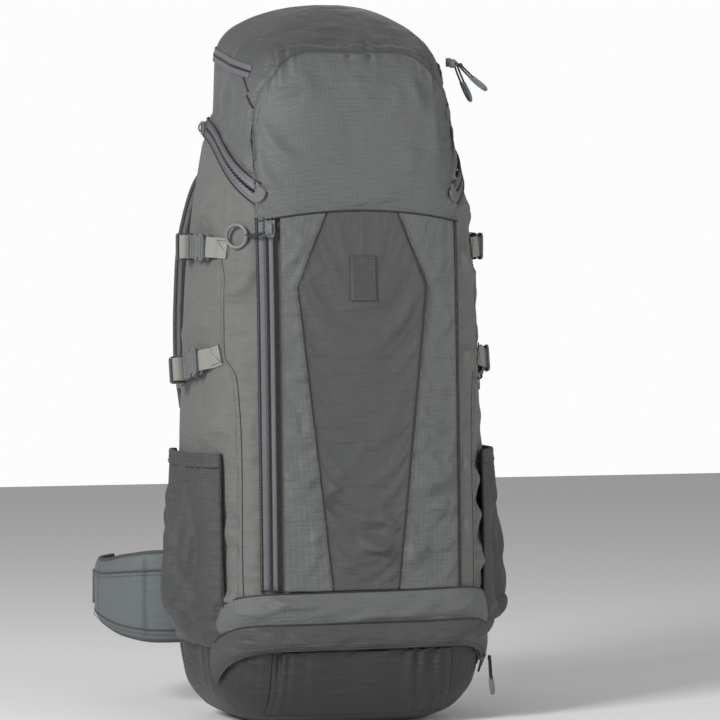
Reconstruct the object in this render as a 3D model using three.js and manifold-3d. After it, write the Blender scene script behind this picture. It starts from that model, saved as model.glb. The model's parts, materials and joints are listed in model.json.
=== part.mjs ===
// Hiking backpack, in millimetres. +Z is up, the front faces -Y and the wearer's side faces +Y.
// The origin is the centre of the flat base.
import * as THREE from 'three';
import { mergeVertices } from 'three/addons/utils/BufferGeometryUtils.js';
import Module from 'manifold-3d';

// ---- Driving dimensions -------------------------------------------------------------------

// The bag's outer shape: half width, front and back at each height.
const HALF_WIDTH = [[0, 100], [12, 126], [45, 149], [110, 158], [170, 159], [300, 156], [440, 153],
  [547, 143], [600, 133], [640, 123], [655, 119], [700, 117], [715, 114], [731, 105], [746, 88],
  [757, 66], [765, 40], [769, 15]];
const FRONT_Y = [[0, -66], [12, -92], [45, -110], [110, -119], [144, -118], [547, -103], [640, -99],
  [700, -91], [715, -85], [731, -72], [746, -52], [757, -34], [765, -14], [769, 0]];
const BACK_Y = [[0, 70], [12, 85], [45, 94], [110, 95], [655, 95], [700, 93], [715, 89], [731, 79],
  [746, 60], [757, 44], [765, 28], [769, 16]];
const CENTRE_SHARE = 0.65;       // where the widest line lies, from the front to the back
const FRONT_POWER = 3.5;         // squareness of the front half of the plan outline
const BACK_POWER = 5;            // squareness of the back half
const RING_POINTS = 32;
const WALL = 3;                  // fabric, lining and padding together
const GAP = 0.3;                 // clearance between touching solids
const LEAN_START = 655;          // above this height the lid's levels rise towards the back
const LEAN_RUN = 60;
const LEAN_SLOPE = 0.2;

const FLOOR_Z = 148;             // divider between the main bag and the bottom compartment
const LID_FRONT_Z = 546;         // lid's lower edge at the front
const LID_BACK_Z = 641.3;        // hinge line of the lid
const ZIP_CENTRE = { y: 116, z: 342 };   // side zips follow an arc about this line along X
const ZIP_RADIUS = 300;
const ZIP_HALF_TAPE = 7;
const ZIP_BACK_Y = 75;
const ZIP_FRONT_Y = -93;
const ZIP_CORNER_Y = { bag: -94.4, lid: -96 };   // where the zip's two edges meet the front seam
const BEYOND = 200;              // cutting tools reach this far past the bag's middle
const ABOVE = 800;               // and this high

// Heights of the rings that shape each part of the bag.
const BASE_LEVELS = [12, 45, 110];
const BAG_LEVELS = [300, 440, 547, 600, 640, 655];
const LID_LEVELS = [547, 600, 640, 655, 670, 685, 700, 715, 731, 746, 757];
const LID_TOP = 769;

const PANEL_HALF = 107;          // front pocket panel
const FRONT_TAPE = { left: -108, right: -89, bottom: 150, top: 541 };
const COFFIN = [[150, 36], [469, 71], [543, 40]];   // centre panel: height and half width
const BAND = { bottom: 111, top: 145, reach: 65 };  // lower band; reach is in degrees of turn
const FLAP = { bottom: 84, top: 110.5, reach: 68 };
const DOOR = { bottom: 13, top: 82, half: 100 };
const DOOR_BACK_Y = -55;         // the doorway is cut this deep, behind the door's own curve
const BOTTOM_ZIP = { bottom: 86, top: 100, reach: 66 };
const POCKET = { bottom: 84, top: 291, front: -58, back: 62, bulge: 19 };

const LID_PANEL = [[548, 112], [640, 107], [685, 99], [700, 90], [712, 68]];   // height and half width
const LID_FLOOR_Z = 666;         // the lid pocket's floor
const LID_ZIP = { level: 698, height: 14, start: 60, reach: 240 };   // start and reach are turns

const STRAP_LEVELS = { upper: { z: 509, tilt: 0 }, lower: { z: 383, tilt: -12 } };
const BUCKLE = { length: 29, width: 29, height: 9, wall: 1.6 };
const ROLL = { length: 27, width: 27, height: 17 };

const STRAP_PATH = [[54, 122, 598], [58, 152, 604], [70, 180, 580], [84, 190, 525], [93, 178, 445],
  [98, 160, 375], [101, 148, 325]];
const STRAP_WIDTH = [[0, 42], [0.25, 60], [0.8, 66], [1, 52]];
const STRAP_THICK = 14;
const LOWER_WEBBING = [[101, 146, 322], [107, 133, 262], [114, 116, 206], [116, 101, 183]];
const HIP_PATH = [[106, 121], [146, 126], [183, 147], [203, 186], [198, 232], [172, 272]];
const HIP_HEIGHT = [[0, 74, 173], [0.5, 76, 170], [1, 96, 160]];
const HIP_THICK = 14;
const HIP_WEBBING = [[170, 276], [152, 296], [112, 313], [64, 319], [20, 320]];
const HAUL_PATH = [[-24, 112], [-21, 126], [0, 134], [21, 126], [24, 112]];
const HAUL_Z = 612;
const STERNUM_BUCKLE = { low: 458, high: 482, near: 195.6, far: 204 };   // in Z, then in Y
const STERNUM_WEBBING = { low: 460, high: 480, near: 193, far: 195, reach: 92 };
const HIP_BUCKLE = { low: 106, high: 150, near: 322, far: 335 };
const HIP_WEBBING_WIDTH = 38;

// ---- Materials ----------------------------------------------------------------------------

function material(color, roughness = 0.85, metalness = 0) {
  return new THREE.MeshStandardMaterial({ color, roughness, metalness });
}
const fabric = material(0x72746f);
const ripstop = material(0x6e716f);
const darkFabric = material(0x575957);
const baseFabric = material(0x3a3c3a);
const tape = material(0x6a6a71);
const webbing = material(0xa3a29b);
const plastic = material(0x79807f, 0.5);
const grip = material(0x7f8586, 0.45);
const mesh = material(0x2c2d2f);
const foam = material(0x3c3e40);
const metal = material(0x9a9b9c, 0.35, 0.9);
const sheetPlastic = material(0x1f2022, 0.5);

// ---- Geometry helpers ---------------------------------------------------------------------

const wasm = await Module();
wasm.setup();

// The value at z on a line through the [z, value] stations, held flat past its ends.
function along(stations, z, column = 1) {
  let previous = stations[0];
  for (const station of stations) {
    if (z <= station[0]) {
      const span = station[0] - previous[0];
      const share = span > 0 ? (z - previous[0]) / span : 0;
      return previous[column] + (station[column] - previous[column]) * Math.max(share, 0);
    }
    previous = station;
  }
  return previous[column];
}

function smoothStep(value) {
  const share = Math.min(Math.max(value, 0), 1);
  return share * share * (3 - 2 * share);
}

// The plan outline's sizes at height z, moved out by `out`.
function plan(z, out = 0) {
  const front = along(FRONT_Y, z) - out;
  const back = along(BACK_Y, z) + out;
  const centre = front + (back - front) * CENTRE_SHARE;
  return { half: along(HALF_WIDTH, z) + out, front, back, centre };
}

// How far the lid's lean lifts a point above its level.
function leanAt(y, z) {
  return LEAN_SLOPE * smoothStep((z - LEAN_START) / LEAN_RUN) * y;
}

// A point on the outline at `turn` degrees: 0 front, 90 right side, 180 back.
function planPoint(z, turn, out = 0) {
  const { half, front, back, centre } = plan(z, out);
  const angle = THREE.MathUtils.degToRad(turn);
  const sine = Math.sin(angle);
  const cosine = Math.cos(angle);
  const power = 2 / (cosine > 0 ? FRONT_POWER : BACK_POWER);
  const reach = cosine > 0 ? front - centre : back - centre;
  const x = half * Math.sign(sine) * Math.abs(sine) ** power;
  const y = centre + reach * Math.abs(cosine) ** power;
  return new THREE.Vector3(x, y, z + leanAt(y, z));
}

// Y of the bag's front surface at x, z.
function frontSurface(x, z, out = 0) {
  const { half, front, centre } = plan(z, out);
  const share = Math.min(Math.abs(x) / half, 1) ** FRONT_POWER;
  return centre + (front - centre) * (1 - share) ** (1 / FRONT_POWER);
}

// Half width of the bag's side surface at y, z.
function sideSurface(y, z, out = 0) {
  const { half, front, back, centre } = plan(z, out);
  const power = y < centre ? FRONT_POWER : BACK_POWER;
  const reach = y < centre ? centre - front : back - centre;
  const share = Math.min(Math.abs(y - centre) / reach, 1) ** power;
  return half * (1 - share) ** (1 / power);
}

// A closed body from points and triangles, turned so that its faces point out.
function closedBody(points, triangles) {
  const volume = triangles.reduce((sum, [a, b, c]) => {
    const side = new THREE.Vector3().crossVectors(points[b], points[c]);
    return sum + points[a].dot(side);
  }, 0);
  const faces = volume > 0 ? triangles : triangles.map(([a, b, c]) => [a, c, b]);
  const geometry = new THREE.BufferGeometry();
  geometry.setAttribute('position', new THREE.Float32BufferAttribute(
    points.flatMap((point) => point.toArray()), 3));
  geometry.setIndex(faces.flat());
  return geometry;
}

function quad(a, b, c, d) {
  return [[a, b, c], [a, c, d]];
}

// A body through closed rings of equal count, with a flat cap at each end.
function loft(rings) {
  const count = rings[0].length;
  const points = rings.flat();
  const triangles = [];
  for (let row = 0; row + 1 < rings.length; row += 1) {
    for (let i = 0; i < count; i += 1) {
      const next = (i + 1) % count;
      const low = row * count;
      const high = low + count;
      triangles.push(...quad(low + i, low + next, high + next, high + i));
    }
  }
  for (const [row, flip] of [[0, true], [rings.length - 1, false]]) {
    const middle = new THREE.Vector3();
    rings[row].forEach((point) => middle.addScaledVector(point, 1 / count));
    points.push(middle);
    const hub = points.length - 1;
    for (let i = 0; i < count; i += 1) {
      const a = row * count + i;
      const b = row * count + (i + 1) % count;
      triangles.push(flip ? [hub, b, a] : [hub, a, b]);
    }
  }
  return closedBody(points, triangles);
}

// A thin body between two surfaces, each a function of u and v from 0 to 1.
function slab(uSteps, vSteps, outer, inner) {
  const points = [];
  for (const surface of [outer, inner]) {
    for (let i = 0; i <= uSteps; i += 1) {
      for (let j = 0; j <= vSteps; j += 1) points.push(surface(i / uSteps, j / vSteps));
    }
  }
  const layer = (uSteps + 1) * (vSteps + 1);
  const at = (i, j) => i * (vSteps + 1) + j;
  const triangles = [];
  for (let i = 0; i < uSteps; i += 1) {
    for (let j = 0; j < vSteps; j += 1) {
      const corners = [at(i, j), at(i + 1, j), at(i + 1, j + 1), at(i, j + 1)];
      triangles.push(...quad(...corners));
      triangles.push(...quad(...corners.map((corner) => corner + layer).reverse()));
    }
  }
  for (let i = 0; i < uSteps; i += 1) {
    triangles.push(...quad(at(i + 1, 0), at(i, 0), at(i, 0) + layer, at(i + 1, 0) + layer));
    const [a, b] = [at(i, vSteps), at(i + 1, vSteps)];
    triangles.push(...quad(b, b + layer, a + layer, a).reverse());
  }
  for (let j = 0; j < vSteps; j += 1) {
    triangles.push(...quad(at(0, j), at(0, j + 1), at(0, j + 1) + layer, at(0, j) + layer));
    const [a, b] = [at(uSteps, j), at(uSteps, j + 1)];
    triangles.push(...quad(b, a, a + layer, b + layer));
  }
  return closedBody(points, triangles);
}

function toSolid(geometry) {
  const bare = geometry.clone();
  bare.deleteAttribute('normal');
  bare.deleteAttribute('uv');
  const merged = mergeVertices(bare, 1e-4);
  return new wasm.Manifold(new wasm.Mesh({
    numProp: 3,
    vertProperties: new Float32Array(merged.attributes.position.array),
    triVerts: new Uint32Array(merged.index.array),
  }));
}

function fromSolid(solid) {
  const result = solid.getMesh();
  const geometry = new THREE.BufferGeometry();
  geometry.setAttribute('position', new THREE.BufferAttribute(new Float32Array(result.vertProperties), 3));
  geometry.setIndex(new THREE.BufferAttribute(new Uint32Array(result.triVerts), 1));
  return geometry;
}

function cut(body, ...tools) {
  return fromSolid(tools.reduce((solid, tool) => solid.subtract(toSolid(tool)), toSolid(body)));
}

function join(...bodies) {
  return fromSolid(bodies.map(toSolid).reduce((whole, solid) => whole.add(solid)));
}

// A box from its lowest to its highest corner.
function block(low, high) {
  const size = high.map((value, axis) => value - low[axis]);
  const geometry = new THREE.BoxGeometry(...size);
  return geometry.translate(...low.map((value, axis) => value + size[axis] / 2));
}

// An outline in the YZ plane carried from x0 to x1.
function sidePrism(outline, x0, x1) {
  const shape = new THREE.Shape(outline.map(([y, z]) => new THREE.Vector2(y, z)));
  const geometry = new THREE.ExtrudeGeometry(shape, { depth: x1 - x0, bevelEnabled: false });
  const basis = new THREE.Matrix4().makeBasis(
    new THREE.Vector3(0, 1, 0), new THREE.Vector3(0, 0, 1), new THREE.Vector3(1, 0, 0));
  return geometry.applyMatrix4(basis).translate(x0, 0, 0);
}

// A round cord closed on itself, along a smooth loop through the points.
function cordLoop(points, radius, sides = 8, steps = 20) {
  const curve = new THREE.CatmullRomCurve3(points.map((p) => new THREE.Vector3(...p)), true);
  const { normals, binormals } = curve.computeFrenetFrames(steps, true);
  const vertices = [];
  const triangles = [];
  for (let i = 0; i < steps; i += 1) {
    for (let j = 0; j < sides; j += 1) {
      const angle = (2 * Math.PI * j) / sides;
      vertices.push(curve.getPointAt(i / steps)
        .addScaledVector(normals[i], radius * Math.cos(angle))
        .addScaledVector(binormals[i], radius * Math.sin(angle)));
      const low = i * sides;
      const high = ((i + 1) % steps) * sides;
      const next = (j + 1) % sides;
      triangles.push(...quad(low + j, low + next, high + next, high + j));
    }
  }
  return closedBody(vertices, triangles);
}

function smoothPath(points) {
  return new THREE.CatmullRomCurve3(points.map((p) => new THREE.Vector3(...p)), false, 'centripetal');
}

const pack = new THREE.Group();

function place(geometry, name, look) {
  const part = new THREE.Mesh(geometry, look);
  part.name = name;
  pack.add(part);
  return part;
}

function ring(z, out = 0) {
  return Array.from({ length: RING_POINTS }, (_, i) => planPoint(z, (360 * i) / RING_POINTS, out));
}

function bagLoft(levels, out = 0) {
  return loft(levels.map((z) => ring(z, out)));
}

// ---- Bag ----------------------------------------------------------------------------------

// The line `offset` above the side zip, from the front to ZIP_BACK_Y.
function zipLine(offset, frontY, steps = 8) {
  const radius = ZIP_RADIUS + offset;
  return Array.from({ length: steps + 1 }, (_, i) => {
    const y = frontY + ((ZIP_BACK_Y + 1 - frontY) * i) / steps;
    return [y, ZIP_CENTRE.z + Math.sqrt(radius ** 2 - (y - ZIP_CENTRE.y) ** 2)];
  });
}

function mainBag() {
  const shell = cut(
    bagLoft([FLOOR_Z + GAP, ...BAG_LEVELS]),
    bagLoft([FLOOR_Z + GAP + WALL, ...BAG_LEVELS, 680], -WALL));
  const above = [[-BEYOND, LID_FRONT_Z - 1], ...zipLine(-ZIP_HALF_TAPE - 0.5, ZIP_CORNER_Y.bag),
    [ZIP_BACK_Y + 1, LID_BACK_Z - GAP], [BEYOND, LID_BACK_Z - GAP], [BEYOND, ABOVE], [-BEYOND, ABOVE]];
  place(cut(shell, sidePrism(above, -BEYOND, BEYOND)), 'main_bag', fabric);
}

function bottomCompartment() {
  const shell = cut(
    bagLoft([0, ...BASE_LEVELS, FLOOR_Z]),
    bagLoft([WALL, ...BASE_LEVELS, FLOOR_Z + WALL], -WALL));
  const doorway = block(
    [-DOOR.half - 1, -BEYOND, DOOR.bottom - 1],
    [DOOR.half + 1, DOOR_BACK_Y, DOOR.top + 1]);
  place(cut(shell, doorway), 'bottom_compartment', baseFabric);
}

// The door is flush with the shell around it and carries the curve of the front.
function bottomDoor() {
  const point = (out) => (u, v) => {
    const x = DOOR.half * (2 * u - 1);
    const z = DOOR.bottom + (DOOR.top - DOOR.bottom) * v;
    return new THREE.Vector3(x, frontSurface(x, z, out), z);
  };
  place(slab(16, 4, point(0), point(-WALL)), 'bottom_door', baseFabric);
}

function frontPatch(left, right, bottom, top, near, far, uSteps, vSteps) {
  const point = (out) => (u, v) => {
    const z = bottom + (top - bottom) * v;
    const [from, to] = [left(z), right(z)];
    const x = from + (to - from) * u;
    return new THREE.Vector3(x, frontSurface(x, z, out), z);
  };
  return slab(uSteps, vSteps, point(far), point(near));
}

function frontPanels() {
  const level = (value) => () => value;
  place(frontPatch(level(FRONT_TAPE.right + GAP), level(PANEL_HALF), 149, 544, 1.2, 3.2, 12, 4),
    'front_panel', ripstop);
  place(frontPatch(level(FRONT_TAPE.left), level(FRONT_TAPE.right), FRONT_TAPE.bottom,
    FRONT_TAPE.top, 1.2, 2.8, 2, 8), 'front_zip_tape', tape);
  const half = (z) => along(COFFIN, z);
  place(frontPatch((z) => -half(z), half, 150, 543, 3.8, 5.2, 6, 10), 'centre_panel', darkFabric);
}

// A strip that follows the outline around the front between two heights.
function frontStrip({ bottom, top, reach }, near, far, uSteps = 18) {
  const point = (out) => (u, v) => planPoint(bottom + (top - bottom) * v, reach * (2 * u - 1), out);
  return slab(uSteps, 1, point(far), point(near));
}

function lowerFront() {
  place(frontStrip(BAND, 1.2, 3.6), 'lower_band', fabric);
  place(frontStrip(FLAP, 4.2, 6.4), 'storm_flap', darkFabric);
  place(frontStrip(BOTTOM_ZIP, 1.2, 2.8), 'bottom_zip_tape', tape);
}

// A pocket stands away from the bag's side between its sewn edges, and is open at the top.
function sidePocket(side) {
  const point = (inset) => (u, v) => {
    const y = POCKET.front + (POCKET.back - POCKET.front) * u;
    const z = POCKET.bottom + (POCKET.top - POCKET.bottom) * v;
    const across = Math.sin(Math.PI * u) ** 0.55;
    const up = 0.75 + 0.25 * Math.cos(Math.PI * (v - 0.35));
    const closed = Math.min(v * 5, 1);
    const stand = 3.4 + POCKET.bulge * across * up * closed;
    return new THREE.Vector3(side * (sideSurface(y, z) + stand - inset), y, z);
  };
  return slab(10, 6, point(0), point(2.2));
}

// Half of a side zip's tape, between two radii about the arc's centre line.
function sideTape(side, inner, outer) {
  const angleAt = (y) => Math.asin((ZIP_CENTRE.y - y) / ZIP_RADIUS);
  const [back, front] = [angleAt(ZIP_BACK_Y), angleAt(ZIP_FRONT_Y)];
  const point = (out) => (u, v) => {
    const angle = back + (front - back) * u;
    const radius = ZIP_RADIUS + inner + (outer - inner) * v;
    const y = ZIP_CENTRE.y - radius * Math.sin(angle);
    const z = ZIP_CENTRE.z + radius * Math.cos(angle);
    return new THREE.Vector3(side * (sideSurface(y, z) + out), y, z);
  };
  return slab(14, 1, point(0), point(-WALL));
}

function innerFrame() {
  place(block([-92, 85, 158], [92, 87, 622]), 'frame_sheet', sheetPlastic);
  for (const [side, name] of [[-1, 'left'], [1, 'right']]) {
    place(block([side * 60 - 6, 81.4, 162], [side * 60 + 6, 84.6, 616]), `stay_${name}`, metal);
  }
  const outline = [[-78, 300], [78, 300], [78, 590], [60, 600], [-60, 600], [-78, 590]];
  const shape = new THREE.Shape(outline.map(([x, z]) => new THREE.Vector2(x, z)));
  const sleeve = new THREE.ExtrudeGeometry(shape, { depth: 2, bevelEnabled: false });
  place(sleeve.rotateX(Math.PI / 2).translate(0, 72, 0), 'hydration_sleeve', darkFabric);
}

function backPads() {
  const panel = (near, far, half, low, high) => {
    const point = (y) => (u, v) => new THREE.Vector3(half * (2 * u - 1), y, low + (high - low) * v);
    return slab(1, 1, point(far), point(near));
  };
  place(panel(95.5, 110, 102, 60, 626), 'back_panel', mesh);
  place(panel(110.4, 134, 100, 78, 176), 'lumbar_pad', foam);
}

// ---- Lid ----------------------------------------------------------------------------------

function lid() {
  const shell = cut(
    bagLoft([LID_FRONT_Z - 11, ...LID_LEVELS, 765, LID_TOP]),
    bagLoft([LID_FRONT_Z - 16, ...LID_LEVELS, LID_TOP - 5], -WALL));
  const below = [[-BEYOND, LID_FRONT_Z], [ZIP_CORNER_Y.lid, LID_FRONT_Z],
    ...zipLine(ZIP_HALF_TAPE + 0.5, ZIP_CORNER_Y.lid), [ZIP_BACK_Y + 1, LID_BACK_Z + GAP],
    [BEYOND, LID_BACK_Z + GAP], [BEYOND, 0], [-BEYOND, 0]];
  place(cut(shell, sidePrism(below, -BEYOND, BEYOND)), 'lid_shell', fabric);
  const [bottom, top] = [LID_PANEL[0][0], LID_PANEL.at(-1)[0]];
  const point = (out) => (u, v) => {
    const z = bottom + (top - bottom) * v;
    const x = along(LID_PANEL, z) * (2 * u - 1);
    const y = frontSurface(x, z, out);
    return new THREE.Vector3(x, y, z + leanAt(y, z));
  };
  place(slab(12, 12, point(4.4), point(2.6)), 'lid_front_panel', ripstop);
  place(bagLoft([LID_FLOOR_Z, LID_FLOOR_Z + 2], -WALL - 2), 'lid_pocket_floor', darkFabric);
  const { level, height, start, reach } = LID_ZIP;
  const strip = (out) => (u, v) => planPoint(level + height * v, start + reach * u, out);
  place(slab(24, 1, strip(3), strip(1.2)), 'lid_zip_tape', tape);
}

// ---- Sliders and pulls --------------------------------------------------------------------

// A slider is a small block with a bridge, standing towards -Y from the tape.
function slider(length, width) {
  const base = block([-width / 2, -4, -length / 2], [width / 2, 0, length / 2]);
  const bridge = block([-width / 5, -7, -length / 4], [width / 5, -3, length / 4]);
  return join(base, bridge);
}

// Points of a hanging cord loop with its U-shaped grip at the bottom.
function loopPoints(width, drop, lean) {
  const half = width / 2;
  return [[-half * 0.4, 0, 0], [-half, -lean * 0.5, -drop * 0.55], [-half * 0.8, -lean * 0.9, -drop * 0.9],
    [0, -lean, -drop], [half * 0.8, -lean * 0.9, -drop * 0.9], [half, -lean * 0.5, -drop * 0.55],
    [half * 0.4, 0, 0]];
}

function moved(geometry, turn, position) {
  const rotation = new THREE.Euler(...turn.map(THREE.MathUtils.degToRad));
  return geometry.applyMatrix4(new THREE.Matrix4().makeRotationFromEuler(rotation)).translate(...position);
}

const LID_SLIDERS = { front: { y: -44, z: 706 }, rear: { y: -31, z: 707.5 } };
const LID_SLIDER_X = 121;

function lidSliders() {
  for (const [name, { y, z }] of Object.entries(LID_SLIDERS)) {
    place(moved(slider(9, 8), [0, 0, 90], [LID_SLIDER_X, y, z]), `lid_slider_${name}`, plastic);
    const lean = name === 'front' ? 30 : 17;
    const drop = name === 'front' ? 27 : 40;
    const loop = cordLoop(loopPoints(9, drop, lean), 1.6);
    place(moved(loop, [0, 0, 90], [LID_SLIDER_X + 9, y, z - 1]), `lid_pull_${name}`, grip);
  }
}

const FRONT_SLIDER = { x: -100, z: 529 };
const RING_PULL = { centre: [-131, -78, 521], radius: 12, cord: 1.9, turn: -46 };

function frontSlider() {
  const { x, z } = FRONT_SLIDER;
  const y = frontSurface(x, z, 5.2);
  place(moved(slider(17, 11), [0, 0, -21], [x, y, z]), 'front_zip_slider', plastic);
  const { centre, radius, cord, turn } = RING_PULL;
  const hoop = moved(new THREE.TorusGeometry(radius, cord, 8, 24), [90, 0, 0], [0, 0, 0]);
  moved(hoop, [0, 0, turn], centre);
  const near = new THREE.Vector3(x - 8, y - 8, z - 4);
  const far = new THREE.Vector3(...centre).lerp(near, radius / near.distanceTo(new THREE.Vector3(...centre)));
  const link = new THREE.CylinderGeometry(cord * 0.8, cord * 0.8, near.distanceTo(far), 8);
  link.applyQuaternion(new THREE.Quaternion().setFromUnitVectors(
    new THREE.Vector3(0, 1, 0), near.clone().sub(far).normalize()));
  const middle = near.clone().lerp(far, 0.5);
  place(join(hoop, link.translate(...middle)), 'front_zip_pull', grip);
}

const BOTTOM_SLIDER = { turn: 60, z: 70 };

function bottomSlider() {
  const spot = planPoint(BOTTOM_SLIDER.z, BOTTOM_SLIDER.turn, 3);
  place(moved(slider(12, 10), [0, 0, 58], spot.toArray()), 'bottom_zip_slider', plastic);
  const loop = cordLoop(loopPoints(8, 40, 4), 1.6);
  const outward = new THREE.Vector3(0.85, -0.53, 0);
  const hang = spot.clone().addScaledVector(outward, 9.5);
  place(moved(loop, [0, 0, 58], [hang.x, hang.y, hang.z - 2]), 'bottom_zip_pull', grip);
}

function sideSlider(side) {
  const y = 62;
  const z = ZIP_CENTRE.z + Math.sqrt(ZIP_RADIUS ** 2 - (y - ZIP_CENTRE.y) ** 2);
  const x = side * (sideSurface(y, z) + 3.4);
  return moved(slider(9, 15), [0, 0, side * 90], [x, y, z]);
}

// ---- Compression straps -------------------------------------------------------------------

// Along the strap is +Y, across is Z, and the buckle stands out along the side's +X.
function socket(side) {
  const { length, width, height, wall } = BUCKLE;
  const body = block([0, -length, -width / 2], [height, 0, width / 2]);
  const hollow = block([wall, -length + 5, -width / 2 + wall], [height - wall, 1, width / 2 - wall]);
  const shaped = cut(body, hollow);
  return side > 0 ? shaped : shaped.rotateY(Math.PI);
}

function prong(side) {
  const base = block([1, 1, -13], [8, 20, 13]);
  const tongue = block([2.4, -14, -2.5], [6.6, 2, 2.5]);
  const arms = [-1, 1].map((edge) => {
    const [near, far] = edge < 0 ? [-12, -8] : [8, 12];
    return block([2.4, -20, near], [6.6, 2, far]);
  });
  const window = block([-1, 8, -10.5], [10, 12, 10.5]);
  const shaped = cut(join(base, tongue, ...arms), window);
  return side > 0 ? shaped : shaped.rotateY(Math.PI);
}

// The webbing's spare end, rolled flat and held behind the prong.
function tailRoll(side) {
  const { length, width, height } = ROLL;
  const half = height / 2;
  const shape = new THREE.Shape();
  shape.moveTo(half, 0);
  shape.lineTo(length - half, 0);
  shape.absarc(length - half, half, half, -Math.PI / 2, Math.PI / 2, false);
  shape.lineTo(half, height);
  shape.absarc(half, half, half, Math.PI / 2, Math.PI * 1.5, false);
  const rolled = new THREE.ExtrudeGeometry(shape, { depth: width, bevelEnabled: false, curveSegments: 6 });
  const basis = new THREE.Matrix4().makeBasis(
    new THREE.Vector3(0, 1, 0), new THREE.Vector3(1, 0, 0), new THREE.Vector3(0, 0, -1));
  rolled.applyMatrix4(basis).translate(1.5, 21, width / 2);
  return side > 0 ? rolled : rolled.rotateY(Math.PI);
}

function compressionStraps() {
  for (const [level, { z, tilt }] of Object.entries(STRAP_LEVELS)) {
    for (const [side, name] of [[-1, 'left'], [1, 'right']]) {
      const group = new THREE.Group();
      group.position.set(side * (along(HALF_WIDTH, z) + 3), -12, z);
      group.rotation.x = THREE.MathUtils.degToRad(tilt);
      const pieces = [[socket(side), 'buckle_socket', plastic], [prong(side), 'buckle_prong', plastic],
        [tailRoll(side), 'webbing_tail', webbing]];
      for (const [geometry, kind, look] of pieces) {
        const part = new THREE.Mesh(geometry, look);
        part.name = `${kind}_${level}_${name}`;
        group.add(part);
      }
      pack.add(group);
    }
  }
}

// ---- Harness ------------------------------------------------------------------------------

// A flat band along a path: width and thickness lie across it.
function band(curve, steps, widthAt, thick, across) {
  const frame = (u) => {
    const tangent = curve.getTangentAt(u);
    const side = across.clone().addScaledVector(tangent, -across.dot(tangent)).normalize();
    return { centre: curve.getPointAt(u), side, normal: new THREE.Vector3().crossVectors(tangent, side) };
  };
  const point = (sign) => (u, v) => {
    const { centre, side, normal } = frame(u);
    return centre.addScaledVector(side, (v - 0.5) * widthAt(u)).addScaledVector(normal, (sign * thick) / 2);
  };
  return slab(steps, 1, point(1), point(-1));
}

function shoulderStraps() {
  for (const [side, name] of [[-1, 'left'], [1, 'right']]) {
    const across = new THREE.Vector3(1, 0, 0);
    const curve = smoothPath(STRAP_PATH.map(([x, y, z]) => [side * x, y, z]));
    place(band(curve, 22, (u) => along(STRAP_WIDTH, u), STRAP_THICK, across), `shoulder_strap_${name}`, foam);
    const lower = smoothPath(LOWER_WEBBING.map(([x, y, z]) => [side * x, y, z]));
    place(band(lower, 10, () => 20, 2, across), `lower_webbing_${name}`, webbing);
    const { low, high, near, far, reach } = STERNUM_WEBBING;
    const [from, to] = side > 0 ? [20, reach] : [-reach, -27];
    place(block([from, near, low], [to, far, high]), `sternum_webbing_${name}`, webbing);
  }
  sternumBuckle();
}

function sternumBuckle() {
  const { low, high, near, far } = STERNUM_BUCKLE;
  const body = block([-28, near, low], [0, far, high]);
  const hollow = block([-24, near + 1.4, low + 2], [1, far - 1.4, high - 2]);
  place(cut(body, hollow), 'sternum_buckle_socket', plastic);
  const base = block([1, near, low], [18, far, high]);
  const tongues = [2.6, 10, 17.6].map(
    (rise) => block([-19, near + 2, low + rise], [2, far - 2, low + rise + 3.8]));
  const window = block([7, near - 5, low + 2.5], [11, far + 5, high - 2.5]);
  place(cut(join(base, ...tongues), window), 'sternum_buckle_prong', plastic);
}

function hipBelt() {
  for (const [side, name] of [[-1, 'left'], [1, 'right']]) {
    const curve = smoothPath(HIP_PATH.map(([x, y]) => [side * x, y, 0]));
    const fin = (sign) => (u, v) => {
      const low = along(HIP_HEIGHT, u);
      const high = along(HIP_HEIGHT, u, 2);
      const tangent = curve.getTangentAt(u);
      const centre = curve.getPointAt(u);
      centre.x += (sign * tangent.y * HIP_THICK) / 2;
      centre.y -= (sign * tangent.x * HIP_THICK) / 2;
      centre.z = low + (high - low) * v;
      return centre;
    };
    place(slab(20, 2, fin(1), fin(-1)), `hip_fin_${name}`, foam);
    const middle = (HIP_BUCKLE.low + HIP_BUCKLE.high) / 2;
    const strip = smoothPath(HIP_WEBBING.map(([x, y]) => [side * x, y, middle]));
    const webbingBand = band(strip, 12, () => HIP_WEBBING_WIDTH, 2, new THREE.Vector3(0, 0, 1));
    place(webbingBand, `hip_webbing_${name}`, webbing);
  }
  hipBuckle();
}

function hipBuckle() {
  const { low, high, near, far } = HIP_BUCKLE;
  const body = block([-35, near, low], [4, far, high]);
  const hollow = block([-24, near + 2, low + 2], [5, far - 2, high - 2]);
  place(cut(body, hollow), 'hip_buckle_socket', plastic);
  const base = block([6, near, low], [35, far, high]);
  const tongues = [6, 19, 32].map(
    (rise) => block([-16, near + 4.2, low + rise], [7, far - 4.2, low + rise + 6]));
  place(join(base, ...tongues), 'hip_buckle_prong', plastic);
}

function haulLoop() {
  const curve = smoothPath(HAUL_PATH.map(([x, y]) => [x, y, HAUL_Z]));
  place(band(curve, 16, () => 20, 3, new THREE.Vector3(0, 0, 1)), 'haul_loop', webbing);
}

mainBag();
bottomCompartment();
bottomDoor();
frontPanels();
lowerFront();
innerFrame();
backPads();
lid();
for (const [side, name] of [[-1, 'left'], [1, 'right']]) {
  place(sidePocket(side), `side_pocket_${name}`, darkFabric);
  place(sideTape(side, -ZIP_HALF_TAPE, -GAP), `side_zip_lower_${name}`, tape);
  place(sideSlider(side), `side_zip_slider_${name}`, plastic);
}
lidSliders();
frontSlider();
bottomSlider();
compressionStraps();
shoulderStraps();
hipBelt();
haulLoop();

export default pack;
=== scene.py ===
import json
import math

import bmesh
import bpy
import numpy as np
from mathutils import Matrix, Vector
from mathutils.bvhtree import BVHTree


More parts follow.
